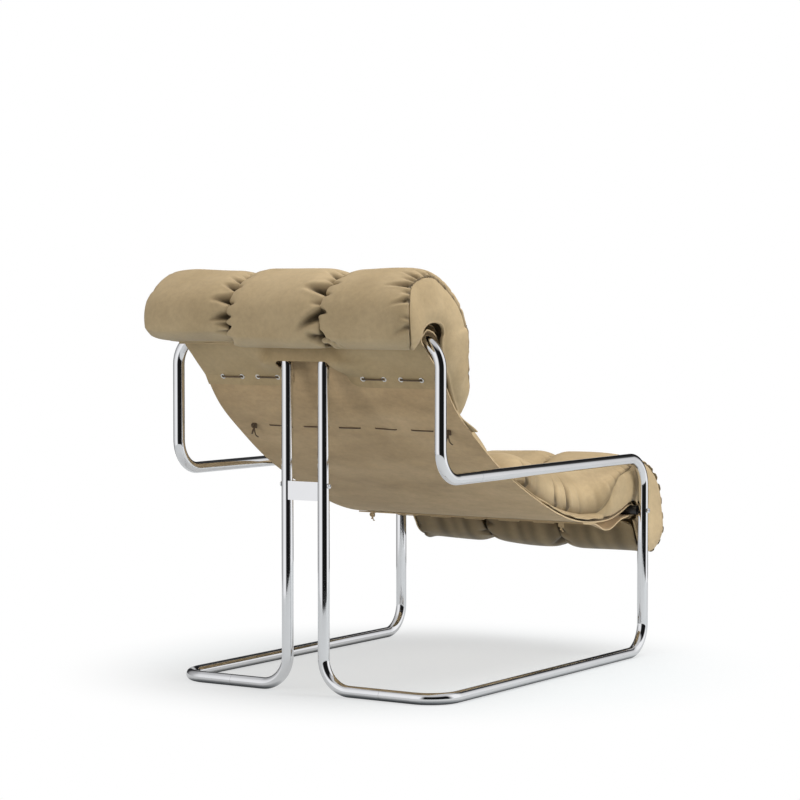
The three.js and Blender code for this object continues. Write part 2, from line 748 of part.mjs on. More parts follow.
function addRowLace(name, distance, backOffset, frontOffset) {
  const { corners, spot } = laceRoute(rowHolePlaces, distance, backOffset, frontOffset, true);
  const knotOffset = -(backOffset - cordReach + knotDiameter / 2);
  const first = spot(-knotPlace, knotOffset);
  const last = spot(knotPlace, knotOffset);
  const route = bentRoute([first, ...corners, last], laceCorner, cornerSteps);
  let solid = toSolid(sweep(cordShape, route));
  for (const knot of [first, last]) {
    solid = solid.add(knotAt(knot));
    for (const lean of [-0.35, 0.6]) {
      const heading = new THREE.Vector3(lean, 0.25, -1).normalize();
      solid = solid.add(tail(knot, heading, tailLength));
    }
  }
  addPiece(name, toGeometry(solid), cordLeather);
}

function addEyelets(outerFace) {
  const { point, normal } = flatAt(slingSeat, upperLaceDistance);
  const axis = place(0, normal.x, normal.y);
  const bore = eyeletBore / 2;
  const barrel = eyeletBarrel / 2;
  const flange = eyeletFlange / 2;
  const profile = [
    [bore, slingThickness / 2], [bore, -outerFace - eyeletLip], [flange - eyeletLip / 2, -outerFace - eyeletLip],
    [flange, -outerFace], [barrel, -outerFace], [barrel, slingThickness / 2], [bore, slingThickness / 2],
  ].map(([radius, along]) => new THREE.Vector2(radius, along));
  for (const [side, word] of [[1, 'left'], [-1, 'right']]) {
    upperHolePlaces.forEach((x, k) => {
      const ring = new THREE.LatheGeometry(profile, eyeletSides);
      ring.applyQuaternion(new THREE.Quaternion().setFromUnitVectors(new THREE.Vector3(0, 1, 0), axis));
      const spot = place(side * x, point.x, point.y);
      ring.translate(spot.x, spot.y, spot.z);
      addPiece(`eyelet_${word}_${k + 1}`, ring, nickel);
    });
  }
}

// The pad's inner line: up behind the top tube, over it in an arch, down along the sling and round the rail
function padInnerLine() {
  const freeEnd = new THREE.Vector2(-padSlotHalfDepth, topTubeHeight - padFreeDrop);
  const arch = Array.from({ length: 11 }, (_, k) => {
    const angle = Math.PI * (1 - k / 10);
    return new THREE.Vector2(padSlotHalfDepth * Math.cos(angle), topTubeHeight + padSlotRise * Math.sin(angle));
  });
  const followed = offsetLine(slingFront, padOffset).filter((point) => point.y < topTubeHeight - sleeveDrop / 2);
  const wrap = arcPoints(rail, slingOverRail + padOffset, railTopAngle, THREE.MathUtils.degToRad(-105), 9);
  const run = curvePoints([arch.at(-1), ...followed], 60);
  return measureLine([freeEnd, ...arch, ...run.slice(1), ...wrap]);
}

const padLine = padInnerLine();
const headRowEnd = crossing(padLine, (point) => (point.x > 0 ? point.y - topTubeHeight + headRowDrop : headRowDrop));
const backRowEnd = crossing(padLine, (point) => backRowReach - point.x);

// Smooth reading of a table of shares: rows start with their place
function tableAt(table, share, column) {
  const k = Math.min(table.length - 2, Math.max(0, table.findIndex((row) => row[0] > share) - 1));
  const slope = (i) => {
    const a = table[Math.max(i - 1, 0)];
    const b = table[Math.min(i + 1, table.length - 1)];
    return (b[column] - a[column]) / (b[0] - a[0]);
  };
  const upTo = share >= table[table.length - 2][0] ? table.length - 2 : k;
  const span = table[upTo + 1][0] - table[upTo][0];
  const t = (share - table[upTo][0]) / span;
  const from = table[upTo][column];
  const to = table[upTo + 1][column];
  const t2 = t * t;
  const t3 = t2 * t;
  return from * (2 * t3 - 3 * t2 + 1) + to * (3 * t2 - 2 * t3)
    + slope(upTo) * span * (t3 - 2 * t2 + t) + slope(upTo + 1) * span * (t3 - t2);
}

const easeOver = (share, [from, to]) => THREE.MathUtils.smoothstep(share, from, to);
const rows = {
  head: {
    from: 0, to: headRowEnd, table: headRowShares, steps: 20, halfWidth: headHalfWidth,
    seamDepth: headSeamShare, sideFullness: fullSideShare, swell: headSideSwell, flare: headFlare, freeStart: true,
    outerRound: headOuterRound,
    outerPlace: (share) => THREE.MathUtils.lerp(headHalfWidth, padSlimHalfWidth, easeOver(share, headNarrowingShares)),
    seamPlace: (share) => THREE.MathUtils.lerp(headSeamPlace, padSeamPlace, easeOver(share, headSeamEaseShares)),
  },
  back: {
    from: headRowEnd, to: backRowEnd, table: backRowShares, steps: 12, halfWidth: padSlimHalfWidth,
    seamDepth: seamDepthShare, sideFullness: thinSideShare, swell: 0, flare: 0,
    outerPlace: () => padSlimHalfWidth, seamPlace: () => padSeamPlace,
  },
  seat: {
    from: backRowEnd, to: padLine.total, table: seatRowShares, steps: 26, halfWidth: padHalfWidth,
    seamDepth: seamDepthShare, sideFullness: fullSideShare, swell: seatSideSwell, flare: 0, freeEnd: true,
    outerPlace: (share) => THREE.MathUtils.lerp(padSlimHalfWidth, padHalfWidth, easeOver(share, seatWideningShares)),
    seamPlace: () => padSeamPlace,
  },
};

// Stations crowd where the inner line turns, so the roll stays round
function rowStations(row) {
  const shares = [];
  const length = row.to - row.from;
  const samples = 400;
  let weight = 0;
  const weights = [0];
  let last = lineAt(padLine, row.from).normal;
  for (let k = 1; k <= samples; k += 1) {
    const { normal } = lineAt(padLine, row.from + length * k / samples);
    weight += length / samples + padThickness * Math.abs(last.angleTo(normal));
    weights.push(weight);
    last = normal;
  }
  let at = 1;
  for (let k = 0; k <= row.steps; k += 1) {
    const wanted = weight * k / row.steps;
    while (at < samples && weights[at] < wanted) at += 1;
    const part = THREE.MathUtils.inverseLerp(weights[at - 1], weights[at], wanted);
    shares.push(THREE.MathUtils.clamp((at - 1 + part) / samples, 0, 1));
  }
  const endShare = padEndRound / length;
  const edgeShares = [0.06, 0.3];
  if (row.freeStart) shares.push(...edgeShares.map((share) => share * endShare));
  if (row.freeEnd) shares.push(...edgeShares.map((share) => 1 - share * endShare));
  return [...new Set(shares.sort((a, b) => a - b))];
}

function endRounding(row, share) {
  const length = row.to - row.from;
  let rounding = 1;
  const ease = (distance) => {
    const short = 1 - Math.min(1, distance / padEndRound);
    return Math.sqrt(Math.max(0, 1 - short * short));
  };
  if (row.freeStart) rounding *= ease(share * length);
  if (row.freeEnd) rounding *= ease((1 - share) * length);
  return rounding;
}

function rowThickness(row, share, column) {
  return Math.max(padLeastThickness, padThickness * tableAt(row.table, share, column) * endRounding(row, share));
}

// A row's stations as distances along the pad's inner line, clear of the seams at its ends
function rowDistances(row) {
  const length = row.to - row.from - padSeamGap;
  return rowStations(row).map((share) => ({ share, distance: row.from + padSeamGap / 2 + share * length }));
}

// A puff has a rounded outer skin, a plain inner one, and closed sides
function puffSolid(outer, inner) {
  const columns = outer[0].length;
  const positions = [...outer.flat(), ...inner.flat()].flatMap((point) => point.toArray());
  const outerAt = (row, column) => row * columns + column;
  const innerAt = (row, column) => outer.length * columns + row * 2 + column;
  const faces = [];
  const quad = (a, b, c, d) => faces.push(a, c, b, a, d, c);
  for (let row = 0; row < outer.length - 1; row += 1) {
    for (let column = 0; column < columns - 1; column += 1) {
      quad(outerAt(row, column), outerAt(row, column + 1), outerAt(row + 1, column + 1), outerAt(row + 1, column));
    }
    quad(innerAt(row, 0), innerAt(row + 1, 0), innerAt(row + 1, 1), innerAt(row, 1));
    quad(outerAt(row, 0), outerAt(row + 1, 0), innerAt(row + 1, 0), innerAt(row, 0));
    quad(outerAt(row, columns - 1), innerAt(row, 1), innerAt(row + 1, 1), outerAt(row + 1, columns - 1));
  }
  const last = outer.length - 1;
  for (let column = 0; column < columns - 1; column += 1) {
    faces.push(innerAt(0, 0), outerAt(0, column), outerAt(0, column + 1));
    faces.push(innerAt(last, 0), outerAt(last, column + 1), outerAt(last, column));
  }
  faces.push(innerAt(0, 0), outerAt(0, columns - 1), innerAt(0, 1));
  faces.push(innerAt(last, 0), innerAt(last, 1), outerAt(last, columns - 1));
  const geometry = new THREE.BufferGeometry();
  geometry.setAttribute('position', new THREE.Float32BufferAttribute(positions, 3));
  geometry.setIndex(faces);
  return geometry;
}

// The pad's outer sides swell out past their seam, most of all just above it
function sideSwell(lean) {
  const inside = 1 - Math.abs(lean);
  return inside > 0 ? (1 + inside / seamSwellShare) * Math.exp(-Math.pow(inside / seamSwellShare, 2)) : 0;
}

// The head's ends lean outwards as they rise
function sideSpread(row, height) {
  return row.flare * (height - topTubeHeight);
}

// How far the skin has risen from its edge to its crest, by the distance from the outer seam
function outerRise(row, lean, half) {
  if (!row.outerRound) return Math.pow(Math.max(0, 1 - lean * lean), row.sideFullness);
  const short = 1 - Math.min(1, (1 - Math.abs(lean)) * half / row.outerRound);
  return Math.sqrt(Math.max(0, 1 - short * short));
}

function addPuff(rowName, columnName, outerSide) {
  const row = rows[rowName];
  const across = 8;
  const outer = [];
  const inner = [];
  for (const { share, distance } of rowDistances(row)) {
    const { point, normal } = lineAt(padLine, distance);
    const crest = rowThickness(row, share, 1);
    const edge = rowThickness(row, share, 2);
    const crown = THREE.MathUtils.clamp((crest - edge) / fullCrown, 0, 1);
    const seamX = row.seamPlace(share);
    const fromX = outerSide < 0 ? -row.outerPlace(share) : -seamX * (1 - 2 * Math.max(0, outerSide));
    const toX = outerSide > 0 ? row.outerPlace(share) : seamX * (1 + 2 * Math.min(0, outerSide));
    const half = (toX - fromX - padSeamGap) / 2;
    const middle = (fromX + toX) / 2;
    const ends = Math.pow(2 * share - 1, 8);
    const draw = half - padCornerDraw * ends;
    outer.push([]);
    inner.push([]);
    for (let k = 0; k <= across; k += 1) {
      const lean = -Math.cos(Math.PI * k / across);
      const atOuter = outerSide !== 0 && Math.sign(lean) === outerSide;
      const low = atOuter ? edge : crest * row.seamDepth;
      const rise = atOuter ? outerRise(row, lean, half) : Math.pow(Math.max(0, 1 - lean * lean), fullSideShare);
      const thickness = low + (crest - low) * rise;
      const swell = atOuter ? outerSide * row.swell * sideSwell(lean) * crown : 0;
      const height = point.y + normal.y * thickness;
      const spread = Math.max(0, outerSide * lean) * outerSide * sideSpread(row, height);
      const x = middle + lean * draw + swell + spread;
      outer.at(-1).push(place(x, point.x + normal.x * thickness, point.y + normal.y * thickness));
    }
    const innerSpread = outerSide * sideSpread(row, point.y);
    const rightX = middle - draw + (outerSide < 0 ? innerSpread : 0);
    const leftX = middle + draw + (outerSide > 0 ? innerSpread : 0);
    inner.at(-1).push(place(rightX, point.x, point.y), place(leftX, point.x, point.y));
  }
  addPiece(`${rowName}_puff_${columnName}`, puffSolid(outer, inner), padLeather);
}

function addEndPanel(rowName, word, side, fromShare) {
  const row = rows[rowName];
  const upper = [];
  const lower = [];
  for (const { share, distance } of rowDistances(row).filter((station) => station.share >= fromShare)) {
    const { point, normal } = lineAt(padLine, distance);
    lower.push(point.clone());
    upper.push(point.clone().addScaledVector(normal, rowThickness(row, share, 2) - panelInset));
  }
  const startX = side > 0 ? row.halfWidth + panelThickness : -row.halfWidth;
  const plate = sidePlate([...lower, ...upper.reverse()], startX, panelThickness);
  const lean = new THREE.Matrix4().makeShear(0, 0, 0, 0, side * row.flare, 0);
  plate.applyMatrix4(lean);
  plate.translate(-side * row.flare * topTubeHeight, 0, 0);
  addPiece(`${rowName}_end_panel_${word}`, plate, padLeather);
}

function addPad() {
  for (const rowName of Object.keys(rows)) {
    addPuff(rowName, 'left', 1);
    addPuff(rowName, 'middle', 0);
    addPuff(rowName, 'right', -1);
  }
  for (const [side, word] of [[1, 'left'], [-1, 'right']]) {
    addEndPanel('head', word, side, 0);
    addEndPanel('seat', word, side, seatPanelStartShare);
  }
  const backingLine = Object.values(rows).flatMap(rowDistances).map(({ distance }) => {
    const { point, normal } = lineAt(padLine, distance);
    return point.addScaledVector(normal, -(fitClearance + backingThickness / 2));
  });
  addPiece('pad_backing', sidePlate(stripOutline(backingLine, backingThickness), padSlimHalfWidth, 2 * padSlimHalfWidth), padLeather);
}

addSideFrame(1, 'left');
addSideFrame(-1, 'right');
addSpacer();
addFasteners();
addSling();
addLacingStrap();
const flapFace = layerStep + slingThickness / 2;
addEyelets(flapFace + fitClearance);
const upperBack = flapFace + 2 * fitClearance + eyeletLip + cordReach;
const slingFace = slingThickness / 2 + fitClearance + cordReach;
addUpperLace(1, 'left', upperBack, slingFace);
addUpperLace(-1, 'right', upperBack, slingFace);
addRowLace('lower_lacing', lowerLaceDistance, slingFace, strapFace + fitClearance + cordReach);
addRowLace('underseat_lacing', returnLaceDistance, flapFace + fitClearance + cordReach, slingFace);
addPad();

// The chair stands centred over its own footprint
const reach = new THREE.Box3().setFromObject(chair);
chair.position.y = -(reach.min.y + reach.max.y) / 2;
chair.updateMatrixWorld(true);

export default chair;
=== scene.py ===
# Looks of the lounge chair: bent chrome tubes, a laced leather sling and a gathered leather pad.
# Side lines are worked out in millimetres as (depth, height): depth runs forward from the rear posts.
import bpy
import math
import numpy as np
from mathutils import Matrix, Vector


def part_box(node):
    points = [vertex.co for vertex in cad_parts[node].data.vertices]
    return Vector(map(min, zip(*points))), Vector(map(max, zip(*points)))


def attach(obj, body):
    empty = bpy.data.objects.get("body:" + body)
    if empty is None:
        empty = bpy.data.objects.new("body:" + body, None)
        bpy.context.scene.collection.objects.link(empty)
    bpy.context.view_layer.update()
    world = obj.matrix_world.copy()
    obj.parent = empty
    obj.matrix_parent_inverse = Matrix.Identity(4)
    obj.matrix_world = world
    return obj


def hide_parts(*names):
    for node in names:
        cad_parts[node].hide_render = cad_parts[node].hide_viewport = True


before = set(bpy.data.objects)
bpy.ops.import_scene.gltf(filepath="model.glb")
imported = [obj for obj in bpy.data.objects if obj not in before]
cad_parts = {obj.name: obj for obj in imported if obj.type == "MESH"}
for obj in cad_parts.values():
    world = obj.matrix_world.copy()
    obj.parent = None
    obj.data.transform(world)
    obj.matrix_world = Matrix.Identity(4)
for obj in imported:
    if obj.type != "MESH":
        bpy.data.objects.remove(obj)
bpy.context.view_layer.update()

SIDES = ((1, "left"), (-1, "right"))

# Frame
TUBE = 25.0
BEND = 65.0
FRAME_HALF = 336.0
POST_HALF = 46.5
TOP = 757.0
ARM = 463.5
DEPTH = 894.0
ARM_JOIN = 150.0
RAIL = 340.0
RAIL_TUBE = 22.0
POST_BOLT = 442.0
BOLT_HEAD = 4.0
JOIN_GAP = 0.3

# Leather
SLING_HALF = 306.0
SLING_THICK = 3.0
SLING_AIR = 0.6
LAYER = 3.6
SLEEVE_REACH = 62.0
SLEEVE_DROP = 93.0
STRAP_MIDDLE = 2.8
PAD_OFFSET = 9.54
PAD_THICK = 110.0
PAD_HALF = 298.0
HEAD_HALF = 324.0
SEAT_HALF = 285.0
PAD_ARCH = (48, 29)
PAD_TAIL = 19
HEAD_DROP = 154
BACK_DEPTH = 378
UPPER_LACE = 668.0
LOWER_LACE = 558.0
RETURN_LACE = 680.0

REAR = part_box("left_back_tube")[1].y - TUBE / 2000


def spot(x, depth, height):
    return Vector((x / 1000, REAR - depth / 1000, height / 1000))


def spots(x, depth, height):
    made = np.zeros(np.broadcast(x, depth, height).shape + (3,))
    made[..., 0] = np.asarray(x) / 1000
    made[..., 1] = REAR - np.asarray(depth) / 1000
    made[..., 2] = np.asarray(height) / 1000
    return made


def smoothstep(x, low, high):
    t = np.clip((x - low) / (high - low), 0, 1)
    return t * t * (3 - 2 * t)


def hump(x, climb, crest, fall, end):
    """Climbs from 0 to 1 between two places and falls back between two later ones."""
    return smoothstep(x, climb, crest) * (1 - smoothstep(x, fall, end))


def bell(x, width):
    return np.exp(-(x / width) ** 2)


# ---------------------------------------------------------------- side lines

def bent_line(controls, count):
    """A smooth line through the controls."""
    pts = np.array(controls, float)
    last = len(pts) - 1
    made = []
    for k in range(count + 1):
        reach = last * k / count
        i = min(int(reach), last - 1)
        w = reach - i
        p0, p1 = pts[max(i - 1, 0)], pts[i]
        p2, p3 = pts[i + 1], pts[min(i + 2, last)]
        v0, v1 = (p2 - p0) / 2, (p3 - p1) / 2
        cubed = (2 * p1 - 2 * p2 + v0 + v1) * w ** 3
        squared = (3 * p2 - 3 * p1 - 2 * v0 - v1) * w ** 2
        made.append(cubed + squared + v0 * w + p1)
    return np.array(made)


def arc(centre, radius, start, end, count):
    turn = np.radians(np.linspace(start, end, count + 1))
    return np.stack([centre[0] + radius * np.cos(turn), centre[1] + radius * np.sin(turn)], axis=1)


class SideLine:
    """A line seen from the side, read by its length. The left of it is its outside."""

    def __init__(self, points):
        points = np.array(points, float)
        gaps = np.linalg.norm(np.diff(points, axis=0), axis=1)
        self.points = points[np.append(True, gaps > 1e-6)]
        steps = np.linalg.norm(np.diff(self.points, axis=0), axis=1)
        self.lengths = np.append(0, np.cumsum(steps))
        self.total = self.lengths[-1]
        ahead = np.vstack([self.points[1:], self.points[-1:]])
        back = np.vstack([self.points[:1], self.points[:-1]])
        along = ahead - back
        along /= np.linalg.norm(along, axis=1)[:, None]
        self.normals = np.stack([-along[:, 1], along[:, 0]], axis=1)

    def read(self, distance, values):
        return np.stack([np.interp(distance, self.lengths, values[:, i]) for i in (0, 1)], axis=-1)

    def at(self, distance):
        """The point at a length along the line, and the direction of its outside there."""
        normal = self.read(distance, self.normals)
        return self.read(distance, self.points), normal / np.linalg.norm(normal, axis=-1, keepdims=True)

    def first(self, test):
        return self.lengths[next(k for k, p in enumerate(self.points) if test(p))]


def even_steps(start, stop, pitch):
    return np.linspace(start, stop, max(2, int(math.ceil((stop - start) / pitch)) + 1))


def beside(line, distance, x, shift, drop=0):
    """Points across the chair, moved off a side line towards its outside and let down a little."""
    point, normal = line.at(distance)
    return spots(x, point[0] + normal[0] * shift, point[1] + normal[1] * shift - drop)


SLING_SHARES = [
    (0.0694, 0.787), (0.122, 0.633), (0.2013, 0.494), (0.3166, 0.327), (0.4474, 0.1835), (0.5828, 0.0588),
    (0.6812, -0.0048), (0.7718, -0.0336), (0.8669, -0.036), (0.9351, -0.0072), (0.98, 0.0264),
]
SLEEVE_REAR = [(0.5, -0.68), (-0.19, -0.25), (-0.42, -0.05)]
SLEEVE_FRONT = [(0.34, 0.08), (0.58, -0.13), (0.74, -0.5)]
OVER_TUBE = TUBE / 2 + SLING_AIR + SLING_THICK / 2
OVER_RAIL = RAIL_TUBE / 2 + SLING_AIR + SLING_THICK / 2
RAIL_SPOT = (DEPTH, RAIL)

sleeve_arc = arc((0, TOP), OVER_TUBE, 130, 50, 4)
sleeve_front = [(a * SLEEVE_REACH, TOP + b * SLEEVE_DROP) for a, b in SLEEVE_FRONT]
sleeve_rear = [(a * SLEEVE_REACH, TOP + b * SLEEVE_DROP) for a, b in SLEEVE_REAR]
sling_shape = [(a * DEPTH, RAIL + b * (TOP - RAIL)) for a, b in SLING_SHARES]
front_controls = [*sleeve_arc[2:], *sleeve_front, *sling_shape]
sling_curve = SideLine(bent_line(front_controls, 16 * (len(front_controls) - 1)))
upper_at = sling_curve.first(lambda p: p[1] < UPPER_LACE)
lower_at = sling_curve.first(lambda p: p[1] < LOWER_LACE)
return_at = sling_curve.first(lambda p: p[0] > RETURN_LACE)


def behind(distance):
    point, normal = sling_curve.at(distance)
    return point - normal * LAYER


rail_wrap = arc(RAIL_SPOT, OVER_RAIL, 100, -112, 30)
return_low = ((RETURN_LACE + DEPTH) / 2, RAIL - 22)
return_loop = bent_line([rail_wrap[-1], return_low, behind(return_at + 8)], 30)[1:]
return_end = [behind(return_at - step) for step in (0, 8, 16, 24)]
sling_main = SideLine([*sling_curve.points, *rail_wrap, *return_loop, *return_end])
flap_foot = [behind(upper_at + step) for step in (17, 12, 8, 4, 0, -4)]
flap_up = bent_line([behind(upper_at - 8), *sleeve_rear, *sleeve_arc[:3]], 70)
flap_line = SideLine([*flap_foot, *flap_up])


def pad_inner_line():
    """The pad's inner line: it leaves the same stretch of the sling as the solids do."""
    laces = (upper_at, lower_at, return_at)
    coarse = [n for k, n in enumerate(sling_curve.lengths) if k % (16 if k < 32 else 8) == 0
              and all(abs(n - lace) > 16 for lace in laces)]
    coarse += [lace + step for lace in laces for step in (-8, 8)]
    coarse = SideLine(sling_curve.at(np.array(sorted(coarse)))[0])
    offset = coarse.points + coarse.normals * PAD_OFFSET
    followed = [p for p in offset if p[1] < TOP - SLEEVE_DROP / 2]
    turn = np.radians(np.linspace(180, 0, 25))
    reach, rise = PAD_ARCH
    arch = np.stack([reach * np.cos(turn), TOP + rise * np.sin(turn)], axis=1)
    run = bent_line([arch[-1], *followed], 240)
    wrap = arc(RAIL_SPOT, OVER_RAIL + PAD_OFFSET, 100, -105, 40)
    return SideLine([(-reach, TOP - PAD_TAIL), *arch, *run[1:], *wrap])


pad_line = pad_inner_line()
head_end = pad_line.first(lambda p: p[0] > 0 and p[1] < TOP - HEAD_DROP)
back_end = pad_line.first(lambda p: p[0] > BACK_DEPTH)


# ---------------------------------------------------------------- materials

def grey(tone):
    return tone, tone, tone


def feed(tree, socket, value):
    """Gives an input its value: a node, one of its outputs, a colour or a number."""
    value = value.outputs[0] if hasattr(value, "outputs") else value
    if hasattr(value, "is_linked"):
        tree.links.new(value, socket)
    else:
        socket.default_value = (*value, 1) if socket.type == "RGBA" else value


def set_inputs(tree, node, **values):
    for key, value in values.items():
        feed(tree, node.inputs[key.replace("_", " ")], value)


def add_node(tree, kind, *fed, **settings):
    """A new node: plain values feed its inputs in their order, named ones an input or a setting."""
    node = tree.nodes.new("ShaderNode" + kind)
    for key, value in settings.items():
        if key.replace("_", " ") in node.inputs:
            set_inputs(tree, node, **{key: value})
        else:
            setattr(node, key, value)
    for socket, value in zip(node.inputs, fed):
        feed(tree, socket, value)
    return node


def new_material(name, roughness, metallic=0.0):
    material = bpy.data.materials.new(name)
    material.use_nodes = True
    tree = material.node_tree
    shader = tree.nodes["Principled BSDF"]
    set_inputs(tree, shader, Roughness=roughness, Metallic=metallic)
    return material, tree, shader


def ramp_between(tree, source, stops):
    ramp = add_node(tree, "ValToRGB", source)
    while len(ramp.color_ramp.elements) < len(stops):
        ramp.color_ramp.elements.new(0.5)
    for element, (place, colour) in zip(ramp.color_ramp.elements, stops):
        element.position = place
        element.color = (*colour, 1)
    return ramp.outputs["Color"]


def blend_colour(tree, share, first, second, mode="MIX"):
    mix = add_node(tree, "Mix", data_type="RGBA", blend_type=mode)
    for slot, value in ((0, share), (6, first), (7, second)):
        feed(tree, mix.inputs[slot], value)
    return mix.outputs[2]


def bumps(tree, *layers):
    """Stacks bumps: each layer is a height output, its strength and its depth in metres."""
    last = None
    for height, strength, distance in layers:
        bump = add_node(tree, "Bump", Height=height, Strength=strength, Distance=distance)
        if last:
            set_inputs(tree, bump, Normal=last)
        last = bump
    return last


def object_place(tree, stretch=(1, 1, 1)):
    place = add_node(tree, "TexCoord").outputs["Object"]
    return add_node(tree, "Mapping", Vector=place, Scale=stretch)


def noise_of(tree, place, scale, detail=4.0, rough=0.55):
    return add_node(tree, "TexNoise", Vector=place, Scale=scale, Detail=detail, Roughness=rough)


def polished_metal(name, tone, roughness):
    material, tree, shader = new_material(name, roughness, 1.0)
    cloudy = noise_of(tree, object_place(tree), 9, 3)
    tint = ramp_between(tree, cloudy, [(0.3, [t * 0.96 for t in tone]), (0.7, tone)])
    wiped = noise_of(tree, object_place(tree, (1, 1, 0.15)), 160, 3)
    gloss = add_node(tree, "MapRange", wiped, 0.35, 0.75, roughness * 0.7, roughness * 1.5)
    set_inputs(tree, shader, Base_Color=tint, Roughness=gloss)
    return material


def leather(name, light, middle, dark, crease, roughness, grain=620, streak=None, nap=0.0):
    """Leather with mottled colour and pores; painted shade from a point attribute darkens it towards the
    crease colour in hollows, along seams and under the seat roll.
    """
    material, tree, shader = new_material(name, roughness)
    place = object_place(tree)
    broad = noise_of(tree, object_place(tree, streak or (1, 1, 1)), 7, 5, 0.6)
    colour = ramp_between(tree, broad, [(0.3, dark), (0.5, middle), (0.72, light)])
    speckle = noise_of(tree, place, 90, 4, 0.7)
    worn = ramp_between(tree, speckle, [(0.3, grey(0.84)), (0.65, grey(1.06))])
    colour = blend_colour(tree, 0.6, colour, worn, "MULTIPLY")
    if streak:
        brushed = noise_of(tree, object_place(tree, (0.55, 0.9, 1.5)), 34, 7, 0.75)
        wisps = ramp_between(tree, brushed, [(0.3, grey(0.84)), (0.5, grey(1.0)), (0.72, (1.12, 1.11, 1.09))])
        colour = blend_colour(tree, 0.8, colour, wisps, "MULTIPLY")
    # Painted shade: a point attribute blends the colour towards the dark crease colour in hollows and seams.
    painted_shade = add_node(tree, "Attribute", attribute_name="painted_shade").outputs["Fac"]
    pores = add_node(tree, "TexVoronoi", Vector=place, Scale=grain)
    wrinkles = noise_of(tree, place, grain / 6, 5, 0.65)
    soft = add_node(tree, "MapRange", speckle, To_Min=roughness - 0.08, To_Max=roughness + 0.1)
    set_inputs(tree, shader, Base_Color=blend_colour(tree, painted_shade, colour, crease), Roughness=soft,
               Normal=bumps(tree, (wrinkles, 0.25, 0.0008), (pores, 0.3, 0.0004)), Specular_IOR_Level=0.32)
    if nap:
        set_inputs(tree, shader, Sheen_Weight=nap, Sheen_Roughness=0.55, Sheen_Tint=(0.9, 0.8, 0.65))
    return material


def black_paint():
    material, tree, shader = new_material("satin_black_steel", 0.32)
    place = object_place(tree)
    cloudy = noise_of(tree, place, 60, 4)
    tint = ramp_between(tree, cloudy, [(0.35, (0.010, 0.010, 0.012)), (0.7, (0.022, 0.022, 0.025))])
    pitted = bumps(tree, (noise_of(tree, place, 900, 3), 0.15, 0.0003))
    set_inputs(tree, shader, Base_Color=tint, Normal=pitted, Coat_Weight=0.3)
    return material


chrome = polished_metal("polished_chrome", (0.88, 0.885, 0.9), 0.05)
nickel = polished_metal("nickel_plate", (0.78, 0.76, 0.72), 0.2)
black_steel = black_paint()
# The fifth colour of each leather is the painted shade colour of its hollows.
pad_hide = leather("khaki_pad_leather", (0.50, 0.380, 0.222), (0.455, 0.341, 0.195), (0.405, 0.300, 0.166),
                   (0.05, 0.034, 0.016), 0.48, nap=0.06)
sling_hide = leather("sling_suede", (0.54, 0.385, 0.222), (0.475, 0.332, 0.184), (0.40, 0.275, 0.148),
                     (0.12, 0.08, 0.045), 0.86, grain=480, streak=(0.6, 1, 1.8), nap=0.2)
flap_hide = leather("sling_smooth_leather", (0.475, 0.352, 0.198), (0.425, 0.312, 0.170),
                    (0.37, 0.268, 0.142), (0.12, 0.08, 0.045), 0.6, nap=0.05)
raw_edge = leather("raw_leather_edge", (0.62, 0.47, 0.28), (0.56, 0.42, 0.25), (0.48, 0.36, 0.21),
                   (0.3, 0.2, 0.1), 0.75, grain=900)
lace_hide = leather("dark_lace_leather", (0.15, 0.102, 0.063), (0.11, 0.074, 0.044), (0.075, 0.051, 0.03),
                    (0.02, 0.012, 0.008), 0.55, grain=1400)


# ---------------------------------------------------------------- meshes

def own(piece, slot, material, *nodes):
    piece.data.materials.clear()
    piece.data.materials.append(material)
    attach(piece, "root")
    if nodes:
        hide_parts(*nodes)


def grid(rows, columns, base=0, turned=False):
    """Faces between points laid row after row; turned ones look the other way."""
    starts = [base + r * columns + c for r in range(rows - 1) for c in range(columns - 1)]
    if turned:
        return [(a, a + columns, a + columns + 1, a + 1) for a in starts]
    return [(a, a + 1, a + columns + 1, a + columns) for a in starts]


def add_object(name, data):
    made = bpy.data.objects.new(name, data)
    bpy.context.scene.collection.objects.link(made)
    return made


def mesh_piece(name, points, faces, painted_shade=None):
    """A piece from points and faces. Its point attribute of painted shade tells the leather where to darken
    hollows.
    """
    mesh = bpy.data.meshes.new(name)
    mesh.from_pydata([tuple(p) for p in points], [], faces)
    mesh.validate()
    values = np.zeros(len(points)) if painted_shade is None else painted_shade
    mesh.attributes.new("painted_shade", "FLOAT", "POINT").data.foreach_set("value", values.astype(np.float32))
    mesh.shade_smooth()
    piece = add_object(name, mesh)
    return piece


def hold(piece):
    """Makes a piece the only selected one."""
    bpy.ops.object.select_all(action="DESELECT")
    bpy.context.view_layer.objects.active = piece
    piece.select_set(True)


def apply_modifier(piece, kind, **settings):
    hold(piece)
    modifier = piece.modifiers.new(kind.lower(), kind)
    for key, value in settings.items():
        setattr(modifier, key, value)
    bpy.ops.object.modifier_apply(modifier=modifier.name)


def smooth_by_angle(piece, degrees):
    hold(piece)
    bpy.ops.object.shade_smooth_by_angle(angle=math.radians(degrees))


def close_edit():
    """Closes doubles, turns the faces outwards and leaves edit mode."""
    bpy.ops.mesh.select_all(action="SELECT")
    bpy.ops.mesh.remove_doubles(threshold=1e-5)
    bpy.ops.mesh.normals_make_consistent(inside=False)
    bpy.ops.object.mode_set(mode="OBJECT")


def weld(piece):
    hold(piece)
    bpy.ops.object.mode_set(mode="EDIT")
    close_edit()


def leather_sheet(name, rows, *nodes):
    """A sheet of the pad's leather through rows of points."""
    piece = mesh_piece(name, np.concatenate(rows), grid(len(rows), len(rows[0])))
    own(piece, "pad_leather", pad_hide, *nodes)
    return piece


def start_piece(name):
    """Names a new primitive and fixes its place."""
    piece = bpy.context.object
    piece.name = name
    bpy.ops.object.transform_apply(location=True, rotation=True, scale=True)
    return piece


def extrude(move):
    bpy.ops.mesh.extrude_region_move(TRANSFORM_OT_translate={"value": move})


# ---------------------------------------------------------------- steel frame

